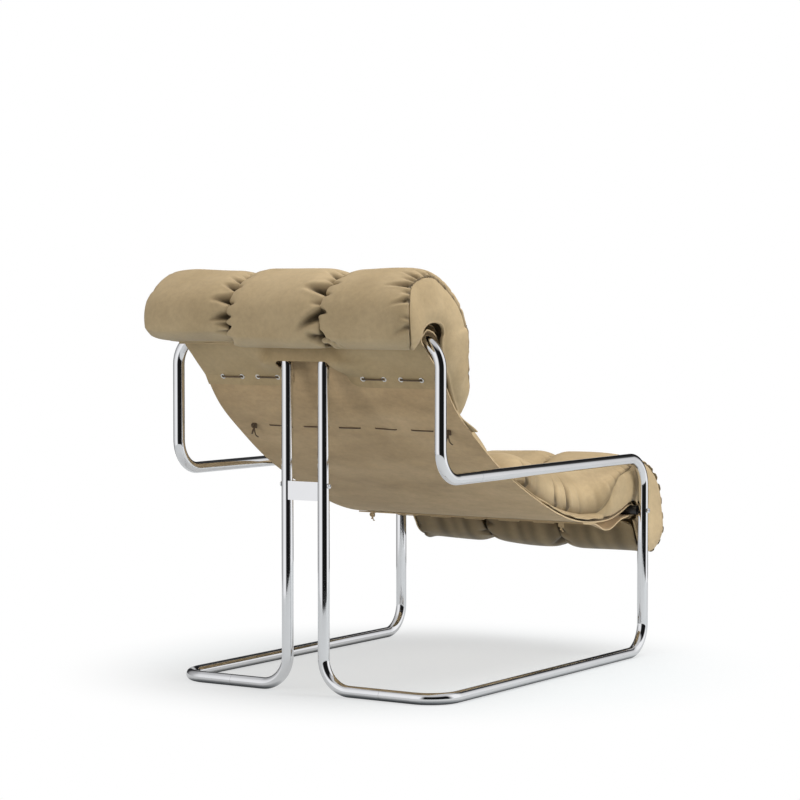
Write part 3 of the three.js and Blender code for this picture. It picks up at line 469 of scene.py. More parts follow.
def bent_tube(name, corners):
    """One tube: a ring drawn along its straight runs and spun round its bends, with its ends closed."""
    bend = BEND / 1000
    heads = [(b - a).normalized() for a, b in zip(corners, corners[1:])]
    here = corners[0] + heads[0] * JOIN_GAP / 2000
    finish = corners[-1] - heads[-1] * JOIN_GAP / 2000
    bpy.ops.object.select_all(action="DESELECT")
    bpy.ops.mesh.primitive_circle_add(vertices=40, radius=TUBE / 2000, location=here,
                                      rotation=heads[0].to_track_quat("Z", "Y").to_euler())
    tube = start_piece(name)
    bpy.ops.object.mode_set(mode="EDIT")
    bpy.ops.mesh.select_all(action="SELECT")
    for corner, before, after in zip(corners[1:], heads, heads[1:]):
        stop = corner - before * bend
        extrude(stop - here)
        axis = before.cross(after).normalized()
        bpy.ops.mesh.spin(steps=18, angle=-math.pi / 2, center=stop + axis.cross(before) * bend, axis=axis)
        here = corner + after * bend
    extrude(finish - here)
    bpy.ops.mesh.select_all(action="SELECT")
    bpy.ops.mesh.remove_doubles(threshold=1e-6)
    bpy.ops.mesh.select_all(action="DESELECT")
    bpy.ops.mesh.select_non_manifold(extend=False, use_wire=False, use_multi_face=False,
                                     use_non_contiguous=False, use_verts=False)
    bpy.ops.mesh.fill_holes(sides=0)
    close_edit()
    smooth_by_angle(tube, 40)
    return tube


def side_frame(side, word):
    outer, inner = side * FRAME_HALF, side * POST_HALF
    join = side * (FRAME_HALF + POST_HALF) / 2
    floor = TUBE / 2
    back = [(join, 0, floor), (inner, 0, floor), (inner, 0, TOP), (outer, 0, TOP), (outer, 0, ARM),
            (outer, ARM_JOIN, ARM)]
    front = [(outer, ARM_JOIN, ARM), (outer, DEPTH, ARM), (outer, DEPTH, floor), (outer, 0, floor),
             (join, 0, floor)]
    for run, part in ((back, "back"), (front, "side")):
        tube = bent_tube(f"{word}_{part}_bent_tube", [spot(*corner) for corner in run])
        own(tube, "chrome", chrome, f"{word}_{part}_tube")


def socket_bolt(side, bolt, half, depth, height):
    """A button head with a round socket, seated on the tube and looking outwards along x."""
    seat = half + TUBE / 2 + JOIN_GAP
    bpy.ops.object.select_all(action="DESELECT")
    bpy.ops.mesh.primitive_cylinder_add(vertices=32, radius=0.0055, depth=BOLT_HEAD / 1000,
                                        location=spot(side * (seat + BOLT_HEAD / 2), depth, height),
                                        rotation=(0, side * math.pi / 2, 0))
    head = start_piece(f"{bolt}_head")
    top = side * (seat + BOLT_HEAD) / 1000

    def pick_top():
        bpy.ops.mesh.select_mode(type="FACE")
        bpy.ops.mesh.select_all(action="DESELECT")
        bpy.ops.object.mode_set(mode="OBJECT")
        for face in head.data.polygons:
            face.select = all(abs(head.data.vertices[v].co.x - top) < 1e-5 for v in face.vertices)
        bpy.ops.object.mode_set(mode="EDIT")

    bpy.ops.object.mode_set(mode="EDIT")
    pick_top()
    bpy.ops.mesh.bevel(offset=0.0017, segments=4, affect="EDGES")
    pick_top()
    bpy.ops.mesh.inset(thickness=0.0014)
    extrude((-side * 0.0022, 0, 0))
    close_edit()
    smooth_by_angle(head, 35)
    own(head, "chrome", chrome, bolt)


def black_rail():
    """A round bar between the front legs, with softened ends."""
    half = FRAME_HALF - TUBE / 2 - JOIN_GAP
    bpy.ops.object.select_all(action="DESELECT")
    bpy.ops.mesh.primitive_cylinder_add(vertices=48, radius=RAIL_TUBE / 2000, depth=2 * half / 1000,
                                        location=spot(0, DEPTH, RAIL), rotation=(0, math.pi / 2, 0))
    rail = start_piece("black_seat_rail")
    for face in rail.data.polygons:
        face.select = abs(face.normal.x) > 0.9
    bpy.ops.object.mode_set(mode="EDIT")
    bpy.ops.mesh.select_mode(type="FACE")
    bpy.ops.mesh.bevel(offset=0.0008, segments=2, affect="EDGES")
    close_edit()
    smooth_by_angle(rail, 40)
    own(rail, "black_steel", black_steel, "seat_rail", "left_rail_plug", "right_rail_plug")


for side, word in SIDES:
    side_frame(side, word)
for side, word in SIDES:
    socket_bolt(side, f"{word}_rail_bolt", FRAME_HALF, DEPTH, RAIL)
    socket_bolt(side, f"{word}_post_bolt", POST_HALF, 0, POST_BOLT)
black_rail()


# ---------------------------------------------------------------- sling

CUT_RISE = 55.0
POST_SLOT = 62.0
BOW_HALF = 88.0
BOW_FADE = 60.0
STITCHES = [(k - 2) * 93.0 - 3 + step for k in range(5) for step in (-27.5, 27.5)]
ROW_HOLES = [-256.0, *STITCHES, 256.0]
UPPER_HOLES = [110.0, 163.0, 205.0, 256.0]
FLAP_COLUMNS = [
    0, 14, 28, 42, 52, 60, 63, 65, 66.5, 68, 69, 69.8, 70.5, 71.2, 72, 73, 74.4, 76, 78, 80, 82, 84, 86.5, 90,
    94, 99, 105, 112, 120, 128, 137, 147, 157, *np.linspace(167, SLING_HALF, 24),
]
upper_stitch = upper_at - 5
hem_height = flap_line.points[0][1]


def hem_over(x):
    """Height of the flap's lower edge: it climbs round the posts in a soft curve."""
    rise = np.interp(np.abs(x), [0, 60, 65, 68, 69.5, 70.5, 71.5, 73, 76, 80, 86, 93, 104, 120],
                     [1, 1, 0.97, 0.9, 0.75, 0.55, 0.38, 0.26, 0.17, 0.12, 0.07, 0.04, 0.015, 0])
    return hem_height + CUT_RISE * rise


def flap_row(columns, distance):
    """One row of the flap: the line behind the top tube, drawn back where it passes outside the posts."""
    depth, height = flap_line.at(distance)[0].T
    out = np.abs(columns)
    across = 1 - smoothstep(out, BOW_HALF, BOW_HALF + BOW_FADE)
    bow = across * smoothstep(height, flap_up[0][1], hem_height + CUT_RISE) * np.maximum(0, depth + OVER_TUBE)
    ripple = 2.2 * np.sin(out / 27 + height / 30) * smoothstep(out, 84, 150)
    slump = 5.0 * bell(out - 92 - (700 - height) * 0.35, 15)
    waves = (ripple + slump) * smoothstep(-height, -738, -700) * smoothstep(height, 684, 706)
    return spots(columns, depth - bow - waves, height)


def sling_sag(x, height):
    """Shallow waves that the weight of the pad pulls into the stretched leather."""
    wave = 1.3 * np.sin(x / 47 + height / 61) * np.sin(height / 83 + 0.6)
    wave = wave + 0.8 * np.sin(x / 29 - height / 37 + 1.3)
    crease = 2.2 * bell(x + 128 + (height - 600) * 0.42, 16) * hump(height, 470, 560, 620, 660)
    return hump(height, 330, 420, 640, 700) * (wave * 0.7 - crease)


def laced_sling():
    """One sheet: up from the hem of the flap over the top tubes, down to the rail and back under the seat."""
    columns = np.array([-x for x in FLAP_COLUMNS[:0:-1]] + FLAP_COLUMNS, float)
    count = len(columns)
    top = int(np.argmax(flap_line.points[:, 1]))
    climb = flap_line.points[:top, 1], flap_line.lengths[:top]
    start, split = np.interp(hem_over(columns), *climb), np.interp(hem_height + CUT_RISE, *climb)
    low_rows, high_rows = 22, 36
    low = [start + (split - start) * share for share in np.linspace(0, 1, low_rows + 1)[:-1]]
    high = [np.full(count, reach) for reach in np.linspace(split, flap_line.total, high_rows + 1)]
    rows = [flap_row(columns, reach) for reach in low + high]
    flap_end = (len(rows) - 1) * count
    shoulder = sling_main.first(lambda p: p[1] < TOP - 10)
    end = sling_main.total
    for distance in even_steps(0, end, 6.5)[1:]:
        shift = 3.2 * bell(distance - shoulder, 22)
        if distance < return_at:
            shift = shift + sling_sag(columns, sling_main.at(distance)[0][1])
        slack = 2.0 * np.sin(columns / 41 + 0.8) * hump(distance, end - 215, end - 150, end - 90, end - 40)
        low_corner = smoothstep(-columns, 262, 306)
        droop = 15 * low_corner * hump(distance, end - 190, end - 120, end - 110, end - 50)
        rows.append(beside(sling_main, distance, columns, shift - slack, droop))
    slot = np.maximum(np.abs(columns[:-1]), np.abs(columns[1:])) <= POST_SLOT
    faces = [face for face in grid(len(rows), count)
             if face[0] >= low_rows * count or not slot[face[0] % count]]
    piece = mesh_piece("laced_sling", np.concatenate(rows), faces)
    own(piece, "sling_leather", sling_hide, "sling")
    piece.data.materials.append(flap_hide)
    piece.data.materials.append(raw_edge)
    piece.data.polygons.foreach_set("material_index", [int(face[0] < flap_end) for face in faces])
    hold(piece)
    bpy.ops.object.mode_set(mode="EDIT")
    bpy.ops.mesh.select_all(action="SELECT")
    bpy.ops.mesh.remove_doubles(threshold=2e-5)
    bpy.ops.mesh.delete_loose()
    bpy.ops.object.mode_set(mode="OBJECT")
    apply_modifier(piece, "SOLIDIFY", thickness=SLING_THICK / 1000, offset=0, material_offset_rim=2)
    smooth_by_angle(piece, 50)


laced_sling()


# ---------------------------------------------------------------- lacing

LACE_BEND = 0.0025
HOLE_SHIFT = 2
UPPER_FRONT = SLING_THICK / 2 + 1.4
FLAP_FACE = LAYER + SLING_THICK / 2
UPPER_BACK = FLAP_FACE + 2.5


def sling_spot(x, distance, offset):
    point, normal = sling_curve.at(distance)
    sag = sling_sag(x, point[1]) if distance < return_at - 30 else 0
    return spot(x, *(point + normal * (offset + sag)))


def rearward(distance):
    """The direction straight out of the sling's rear face."""
    point, normal = sling_curve.at(distance)
    return (spot(0, *point) - spot(0, *(point + normal))).normalized()


def lacing_strap():
    columns = np.linspace(-SLING_HALF, SLING_HALF, 97)
    rows = []
    for distance in np.linspace(lower_at - 68, lower_at + 10, 14):
        flare = 13 * smoothstep(-columns, 268, 306) * smoothstep(distance, lower_at - 50, lower_at + 10)
        shift = STRAP_MIDDLE + sling_sag(columns, sling_curve.at(distance)[0][1]) + flare * 0.35
        rows.append(beside(sling_curve, distance, columns - flare * 0.9, shift, flare * 0.2))
    piece = leather_sheet("lacing_band", rows, "lacing_strap")
    piece.data.materials.append(raw_edge)
    apply_modifier(piece, "SOLIDIFY", thickness=0.002, offset=0, material_offset_rim=1)
    smooth_by_angle(piece, 50)


def rounded_route(corners, steps=4):
    """Corner points joined with small bends."""
    made = [corners[0]]
    for a, b, c in zip(corners, corners[1:], corners[2:]):
        into, out = (b - a), (c - b)
        reach = min(LACE_BEND, into.length * 0.45, out.length * 0.45)
        start, stop = b - into.normalized() * reach, b + out.normalized() * reach
        for k in range(steps + 1):
            t = k / steps
            made.append(start * (1 - t) ** 2 + b * 2 * t * (1 - t) + stop * t ** 2)
    made.append(corners[-1])
    return made


def lace_tube(route, width, height, up):
    """Points and faces of a lace: an oval section carried along a route, closed at both ends."""
    sides = 10
    points, faces = [], []
    for k, here in enumerate(route):
        along = (route[min(k + 1, len(route) - 1)] - route[max(k - 1, 0)]).normalized()
        across = along.cross(up)
        across = across.normalized() if across.length > 0.1 else Vector((1, 0, 0))
        over = across.cross(along).normalized()
        for s in range(sides):
            turn = 2 * math.pi * s / sides
            points.append(here + across * width / 2 * math.cos(turn) + over * height / 2 * math.sin(turn))
    for k in range(len(route) - 1):
        for s in range(sides):
            a, b = k * sides + s, k * sides + (s + 1) % sides
            faces.append((a, b, b + sides, a + sides))
    faces.append(tuple(range(sides))[::-1])
    faces.append(tuple(range(len(points) - sides, len(points))))
    return points, faces


def lace_piece(name, runs, node, hide):
    points, faces = [], []
    for run in runs:
        more, skin = lace_tube(*run)
        faces += [tuple(v + len(points) for v in face) for face in skin]
        points += more
    piece = mesh_piece(name, points, faces)
    weld(piece)
    own(piece, "cord_leather", hide, node)


def stitch_corners(holes, distance, *offsets):
    """From hole to hole the lace lies at one offset and then the other, by turns."""
    pairs = zip(holes, holes[1:])
    return [sling_spot(x, distance, offsets[k % 2]) for k, pair in enumerate(pairs) for x in pair]


def knot_runs(centre, out, tail):
    """A small overhand knot: thick turns round the lace, a loop above and two short tails."""
    across, down = Vector((1, 0, 0)), Vector((0, 0, -1))
    coil = []
    for k in range(41):
        turn = 5 * math.pi * k / 40
        ring = down * math.cos(turn) + out * math.sin(turn)
        coil.append(centre + ring * 0.0040 + across * (k / 40 - 0.5) * 0.010
                    + down * 0.002 * math.sin(turn * 0.7))
    loop = []
    for k in range(25):
        turn = 2 * math.pi * k / 24
        loop.append(centre + out * 0.004 + across * (0.0065 * math.cos(turn) + 0.001)
                    + down * (0.0048 * math.sin(turn) - 0.002))
    tails = []
    for lean, reach, bow in ((-0.35, 0.024, 0.006), (0.30, 0.017, 0.004)):
        tails.append([centre + out * (0.0030 + bow * math.sin(math.pi * t)) + down * reach * tail * t
                      + across * lean * reach * tail * (t + 0.3 * t * t) for t in np.linspace(0, 1, 10)])
    return [(coil, 0.0038, 0.0028, Vector((0.3, 0.3, 1))), (loop, 0.0036, 0.0026, out),
            *[(t, 0.0042, 0.0020, out) for t in tails]]


def lacing():
    for side, word in SIDES:
        holes = [side * x + HOLE_SHIFT for x in UPPER_HOLES]
        corners = stitch_corners(holes, upper_stitch, -UPPER_BACK, UPPER_FRONT)
        places = (holes[0] + side * 4, holes[0], holes[-1], holes[-1] - side * 4)
        start, first, last, end = (sling_spot(x, upper_stitch, UPPER_FRONT) for x in places)
        route = rounded_route([start, first, *corners, last, end])
        runs = [(route, 0.0040, 0.0024, rearward(upper_stitch))]
        lace_piece(f"upper_lace_{word}", runs, f"upper_lacing_{word}", lace_hide)
    rows = (("lower", lower_at, 2.9, 5.4, (-256, 250), 1.0, lace_hide),
            ("underseat", return_at, 6.5, 2.9, (-236, 282), 0.5, raw_edge))
    for row, distance, back, front, places, tail, hide in rows:
        out = rearward(distance)
        corners = stitch_corners(ROW_HOLES, distance, front, -back)
        start, end = (sling_spot(x, distance, -back - 1.5) for x in places)
        runs = [(rounded_route([start, *corners, end]), 0.0034, 0.0022, out)]
        runs += knot_runs(start, out, tail) + knot_runs(end, out, tail)
        lace_piece(f"{row}_lace", runs, f"{row}_lacing", hide)


def eyelet_ring():
    """A rolled rim spun round the hole, with its barrel: shaped once, flat on z = 0, facing up."""
    bpy.ops.object.select_all(action="DESELECT")
    bpy.ops.mesh.primitive_circle_add(vertices=12, radius=0.0014, location=(0.0047, 0, 0.0004),
                                      rotation=(math.pi / 2, 0, 0))
    ring = start_piece("eyelet_ring")
    bpy.ops.object.mode_set(mode="EDIT")
    bpy.ops.mesh.select_all(action="SELECT")
    bpy.ops.transform.resize(value=(1.15, 1, 0.62))
    bpy.ops.mesh.spin(steps=36, angle=2 * math.pi, center=(0, 0, 0), axis=(0, 0, 1))
    bpy.ops.mesh.select_all(action="DESELECT")
    bpy.ops.mesh.primitive_circle_add(vertices=36, radius=0.0033, location=(0, 0, 0.0004))
    extrude((0, 0, -0.0052))
    extrude((0, 0, 0))
    bpy.ops.transform.resize(value=(0.82, 0.82, 1))
    extrude((0, 0, 0.0052))
    close_edit()
    return ring


def eyelets():
    master = eyelet_ring()
    turn = rearward(upper_stitch).to_track_quat("Z", "Y").to_matrix().to_4x4()
    for side, word in SIDES:
        for k, x in enumerate(UPPER_HOLES, 1):
            mesh = master.data.copy()
            ring = add_object(f"nickel_eyelet_{word}_{k}", mesh)
            seat = sling_spot(side * x + HOLE_SHIFT, upper_stitch, -FLAP_FACE - 0.3)
            mesh.transform(Matrix.Translation(seat) @ turn)
            mesh.shade_smooth()
            own(ring, "nickel", nickel, f"eyelet_{word}_{k}")
    bpy.data.objects.remove(master)


lacing_strap()
lacing()
eyelets()


# ---------------------------------------------------------------- pad

# Thickness along a row, from its start: (share of its length, share at the crest, share at the outer seam)
HEAD_TABLE = [
    (0, 0.56, 0.36), (0.055, 0.7, 0.46), (0.1, 0.84, 0.64), (0.148, 0.91, 0.79), (0.2, 0.96, 0.84),
    (0.26, 1.01, 0.84), (0.33, 1.02, 0.75), (0.4, 0.97, 0.66), (0.5, 0.9, 0.68), (0.62, 0.83, 0.68),
    (0.77, 0.72, 0.57), (0.87, 0.56, 0.45), (0.95, 0.4, 0.36), (0.985, 0.28, 0.28), (1, 0.14, 0.12),
]
BACK_TABLE = [
    (0, 0.08, 0.03), (0.08, 0.4, 0.03), (0.2, 0.64, 0.03), (0.5, 0.74, 0.03), (0.8, 0.7, 0.03),
    (0.93, 0.46, 0.03), (1, 0.08, 0.03),
]
SEAT_TABLE = [
    (0, 0.08, 0.03), (0.035, 0.52, 0.05), (0.09, 0.8, 0.06), (0.2, 0.92, 0.06), (0.4, 0.93, 0.07),
    (0.6, 0.95, 0.08), (0.64, 0.95, 0.2), (0.68, 0.95, 0.42), (0.73, 0.94, 0.6), (0.79, 0.93, 0.72),
    (0.85, 0.92, 0.7), (0.895, 1, 0.88), (0.93, 1.12, 1.04), (0.96, 1.08, 1.02), (0.985, 0.92, 0.9),
    (1, 0.88, 0.86),
]
SEAM_GAP = 0.3


def read_table(table, shares, column):
    """Smooth reading of a thickness table at many places."""
    table = np.array(table, float)
    place, value = table[:, 0], table[:, column]
    ahead = np.append(np.arange(1, len(place)), len(place) - 1)
    back = np.insert(np.arange(len(place) - 1), 0, 0)
    slope = (value[ahead] - value[back]) / (place[ahead] - place[back])
    k = np.clip(np.searchsorted(place, shares, side="right") - 1, 0, len(place) - 2)
    span = place[k + 1] - place[k]
    t = (shares - place[k]) / span
    return (value[k] * (2 * t ** 3 - 3 * t ** 2 + 1) + value[k + 1] * (3 * t ** 2 - 2 * t ** 3)
            + slope[k] * span * (t ** 3 - 2 * t ** 2 + t) + slope[k + 1] * span * (t ** 3 - t ** 2))


def pad_row(start, stop, table, seam, swell, flare, free):
    """A row of puffs. 'free' tells whether its start and its end are open edges of the pad."""
    return dict(start=start, stop=stop, length=stop - start, table=table, seam=seam,
                swell=dict(zip((1, -1), swell)), flare=flare, free=free)


ROWS = {
    "head": pad_row(0.0, head_end, HEAD_TABLE, 0.83, (20.0, 3.0), 0.075, (True, False)),
    "back": pad_row(head_end, back_end, BACK_TABLE, 0.8, (0.0, 0.0), 0.0, (False, False)),
    "seat": pad_row(back_end, pad_line.total, SEAT_TABLE, 0.8, (4.0, 4.0), 0.0, (False, True)),
}


def outer_place(row_name, shares, side=1):
    """How far from the middle the pad's outer seam runs; on the right the head roll is drawn in."""
    if row_name == "head":
        tight = 15 * (1 - smoothstep(shares, 0, 0.07)) + 26 * hump(shares, 0.07, 0.17, 0.3, 0.5)
        return HEAD_HALF - 18 * smoothstep(shares, 0.9, 1) - (tight if side < 0 else 0)
    if row_name == "back":
        return PAD_HALF - 13 * smoothstep(shares, 0, 0.12)
    return SEAT_HALF + 26 * smoothstep(shares, 0.56, 0.68)


def foot_draw(row_name, shares):
    """How far the gusset's foot is drawn in under its bulge."""
    if row_name == "head":
        return 9.0 + 9.0 * smoothstep(shares, 0.62, 0.92) - 16.0 * smoothstep(shares, 0.9, 1)
    return np.full_like(shares, 3.0) if row_name == "seat" else np.zeros_like(shares)


def seam_place(row_name, shares):
    """How far from the middle the long seams run: wider apart behind the head roll."""
    if row_name == "head":
        return 116 - 11 * smoothstep(shares, 0.35, 0.85)
    return np.full_like(shares, 105.0)


def quarter_round(distance, reach):
    """Rises from 0 to 1 over a distance, like a quarter of a circle."""
    return np.sqrt(1 - (1 - np.clip(distance / reach, 0, 1)) ** 2)


def outer_rise(row_name, lean, gap):
    """Share of the crown reached at a distance from the outer seam."""
    if row_name == "head":
        return quarter_round(gap, 46)
    return np.maximum(0, 1 - lean ** 2) ** (2.4 if row_name == "back" else 0.45)


def row_shares(row, pitch):
    """Places along a row, closer together where its inner line turns."""
    fine = np.linspace(0, 1, 801)
    normals = pad_line.at(row["start"] + row["length"] * fine)[1]
    turns = np.arccos(np.clip(np.sum(normals[1:] * normals[:-1], axis=1), -1, 1))
    weight = np.append(0, np.cumsum(row["length"] / 800 + PAD_THICK * turns))
    return np.interp(np.linspace(0, weight[-1], int(weight[-1] / pitch) + 1), weight, fine)


def row_at(row, shares):
    return row["start"] + SEAM_GAP + shares * (row["length"] - 2 * SEAM_GAP)


def row_side(row_name, shares):
    """Where a row's inner side runs and which way its thickness points. In front of the head roll, where the
    side bends inwards, the direction turns evenly."""
    distance = row_at(ROWS[row_name], shares)
    point, normal = pad_line.at(distance)
    if row_name == "head":
        even = sum(pad_line.at(distance + step)[1] for step in np.linspace(-48, 48, 13)) / 13
        normal = normal + (even - normal) * smoothstep(shares, 0.4, 0.52)[:, None]
        normal /= np.linalg.norm(normal, axis=1, keepdims=True)
    return point, normal


def row_thickness(row, shares, column):
    """Thickness at places along a row, rounded off towards an open edge."""
    rounding = np.ones_like(shares)
    for free, share in zip(row["free"], (shares, 1 - shares)):
        if free:
            rounding *= quarter_round(share * row["length"], 34)
    return np.maximum(1.5, PAD_THICK * read_table(row["table"], shares, column) * rounding)


def flat_spots(skin):
    return spots(*np.moveaxis(skin, -1, 0)).reshape(-1, 3)


def puff(row_name, word, outer_side):
    """One quilted puff: a crowned skin between its seams, gathered along them, closed underneath."""
    row = ROWS[row_name]
    shares = row_shares(row, 4.4)
    lean = -np.cos(np.pi * np.linspace(0, 1, 57))
    seam, outer = seam_place(row_name, shares), outer_place(row_name, shares, outer_side)
    start_x, stop_x = {1: (seam, outer), 0: (-seam, seam), -1: (-outer, -seam)}[outer_side]
    middle = (start_x + stop_x) / 2
    point, normal = row_side(row_name, shares)
    crest = row_thickness(row, shares, 1)
    edge = row_thickness(row, shares, 2)
    crown = np.clip((crest - edge) / 20, 0, 1)
    draw = (stop_x - start_x) / 2 - SEAM_GAP - 5 * (2 * shares - 1) ** 8

    S, L = np.meshgrid(shares, lean, indexing="ij")
    thick = np.zeros_like(S)
    for side in (-1, 1):
        gap = (1 - side * L) * draw[:, None]
        low = edge if side == outer_side else crest * row["seam"]
        if side == outer_side:
            rise = outer_rise(row_name, L, gap)
        elif side < 0:
            rise = 1 - (1 - np.clip(gap / 62, 0, 1)) ** 2.2
        else:
            rise = quarter_round(gap, 30)
        thick = np.where(L * side >= 0, low[:, None] + (crest - low)[:, None] * rise, thick)
    depth, height = (point[:, i, None] + normal[:, i, None] * thick for i in (0, 1))
    x = middle[:, None] + L * draw[:, None]
    if outer_side:
        inside = (1 - np.abs(L)) / 0.22
        swell = np.where(inside > 0, (1 + inside) * bell(inside, 1), 0) * row["swell"][outer_side]
        x += np.where(np.sign(L) == outer_side, outer_side * swell * crown[:, None], 0)
        x += np.maximum(0, outer_side * L) * outer_side * row["flare"] * (height - TOP)
    skin = np.stack([x, depth, height], axis=-1)
    skin, painted_shade = gather(row_name, word, outer_side, skin, S, L, draw, crest)
    skin_points = flat_spots(settle(row_name, word, skin, S))

    shift = row["flare"] * (point[:, 1] - TOP) - foot_draw(row_name, shares)
    feet = (middle - draw - shift * (outer_side < 0), middle + draw + shift * (outer_side > 0))
    foot_points = np.stack([spots(foot, *point.T) for foot in feet], axis=1).reshape(-1, 3)
    count, cols = S.shape
    base = count * cols
    faces = grid(count, cols, turned=True)
    for r in range(count - 1):
        here, ahead, foot = r * cols, (r + 1) * cols, base + 2 * r
        faces.append((foot, foot + 1, foot + 3, foot + 2))
        faces.append((here, foot, foot + 2, ahead))
        faces.append((ahead - 1, ahead + cols - 1, foot + 3, foot + 1))
    faces.append((*range(cols), base + 1, base))
    faces.append((*range(base - 1, base - cols - 1, -1), base + 2 * count - 2, base + 2 * count - 1))
    # The skin carries painted shade; the feet underneath get none.
    tone = np.append(painted_shade, np.zeros(len(foot_points)))
    piece = mesh_piece(f"{row_name}_cushion_{word}", np.concatenate([skin_points, foot_points]), faces, tone)
    weld(piece)
    apply_modifier(piece, "SUBSURF", levels=1, render_levels=1)
    own(piece, "pad_leather", pad_hide, f"{row_name}_puff_{word}")


# Gathers, from the start of a row: (share of the skin's length, depth, reach, slant, width), in mm
HEAD_PLEATS = {
    "left": [
        (0.045, 8, 28, 0.0, 7), (0.100, 13, 34, 0.1, 7), (0.137, 12, 36, 0.0, 6), (0.172, 19, 50, -0.3, 9),
        (0.231, 20, 54, -0.15, 9), (0.283, 18, 46, 0.1, 8), (0.322, 14, 46, 0.2, 6), (0.362, 9, 34, 0.2, 5),
    ],
    "middle": [
        (0.045, 9, 28, 0.0, 8), (0.098, 22, 34, 0.4, 10), (0.176, 23, 58, -0.6, 10), (0.215, 7, 30, -0.2, 5),
        (0.270, 24, 62, -0.05, 11), (0.318, 8, 30, 0.1, 5), (0.352, 16, 46, 0.35, 7),
    ],
    "right": [],
}
HEAD_FRONT_PLEATS = [
    (0.405, 10, 40, 0.0, 6), (0.450, 12, 44, 0.1, 7), (0.500, 11, 38, -0.1, 7), (0.548, 13, 46, 0.1, 8),
    (0.600, 11, 36, 0.0, 7), (0.650, 13, 42, 0.1, 7), (0.705, 9, 32, 0.0, 6), (0.80, 8, 28, 0.0, 6),
    (0.88, 8, 26, 0.0, 5),
]
HEAD_LOBES = {
    "middle": [(0.10, 10, 16, 0.2, 5), (0.138, 9, 13, 0.1, 4), (0.168, 8, 14, 0, 4), (0.212, 10, 18, 0, 4),
               (0.28, 9, 16, 0, 4), (0.34, 6, 14, 0, 4)],
    "right": [(0.07, 13, 34, -0.9, 5), (0.122, 18, 46, -1.0, 6), (0.19, 15, 26, -0.4, 5),
              (0.25, 9, 24, -0.2, 4), (0.298, 14, 32, -0.1, 5), (0.345, 8, 26, 0.2, 5)],
    "left": [],
}
GUSSET_PLEATS = [
    (0.138, 8, 34, -0.6, 5), (0.165, 5, 20, -0.3, 4), (0.232, 12, 40, -0.7, 6), (0.262, 6, 24, -0.4, 4),
    (0.298, 14, 56, -0.3, 6), (0.328, 8, 38, -0.1, 4), (0.352, 12, 50, 0.2, 5), (0.392, 8, 34, 0.2, 5),
    (0.425, 11, 40, 0.3, 5), (0.478, 7, 26, 0.1, 5), (0.525, 8, 28, 0.0, 5), (0.585, 6, 22, 0.1, 5),
    (0.65, 7, 24, 0.0, 5), (0.72, 6, 20, 0.1, 5), (0.79, 6, 22, 0.0, 5), (0.88, 6, 22, 0.0, 4),
]
SEAT_EDGE_PLEATS = [
    (0.052, 15, 44, 0.5, 7), (0.10, 2, 50, 0.6, 11), (0.190, 9, 40, 0.6, 7), (0.242, 13, 46, 0.4, 7),
    (0.300, 2, 30, 0.2, 8), (0.362, 1.5, 26, 0, 7), (0.41, 1, 16, 0, 4), (0.436, 2, 20, 0.1, 4),
    (0.462, 3, 24, 0.1, 4), (0.490, 4, 28, 0, 4), (0.512, 8, 34, 0, 4), (0.532, 6, 28, 0, 4),
    (0.549, 8, 28, 0, 4), (0.575, 6, 24, 0, 4), (0.606, 7, 24, 0, 5), (0.642, 9, 26, 0, 5),
    (0.675, 8, 24, 0, 5), (0.708, 9, 26, 0, 5), (0.742, 8, 24, 0, 5), (0.775, 9, 24, 0, 5),
    (0.808, 8, 26, 0, 5), (0.842, 8, 24, 0, 5), (0.876, 6, 20, 0, 4), (0.918, 6, 18, 0, 4),
    (0.95, 5, 16, 0, 4),
]


def seeded_pleats(seed, count, depth, reach, width):
    dice = np.random.RandomState(seed)
    places = (np.arange(count) + 0.5 + dice.uniform(-0.3, 0.3, count)) / count
    return [(p, depth * dice.uniform(0.45, 1.25), reach * dice.uniform(0.5, 1.35), dice.uniform(-0.35, 0.35),
             width * dice.uniform(0.7, 1.3)) for p in places]


def pleats_for(row_name, word, side, outer_side):
    """The pleats that run in from one edge of a puff."""
    seed = {"head": 11, "back": 23, "seat": 37}[row_name] + 3 * len(word)
    if side == outer_side:
        if row_name == "head":
            return GUSSET_PLEATS if outer_side < 0 else seeded_pleats(seed + 70, 6, 3, 26, 7)
        return SEAT_EDGE_PLEATS if row_name == "seat" else seeded_pleats(seed + 101, 9, 4, 20, 5)
    if row_name == "head" and side < 0:
        return HEAD_PLEATS[word] + HEAD_FRONT_PLEATS
    if row_name == "head":
        return HEAD_LOBES[word] + seeded_pleats(seed + 50, 13, 8, 18, 5)[5:]
    count = {"back": 9, "seat": 22}[row_name]
    if side < 0:
        return seeded_pleats(seed, count, 11, 40, 7)
    return seeded_pleats(seed + 50, count, 9, 20, 5)


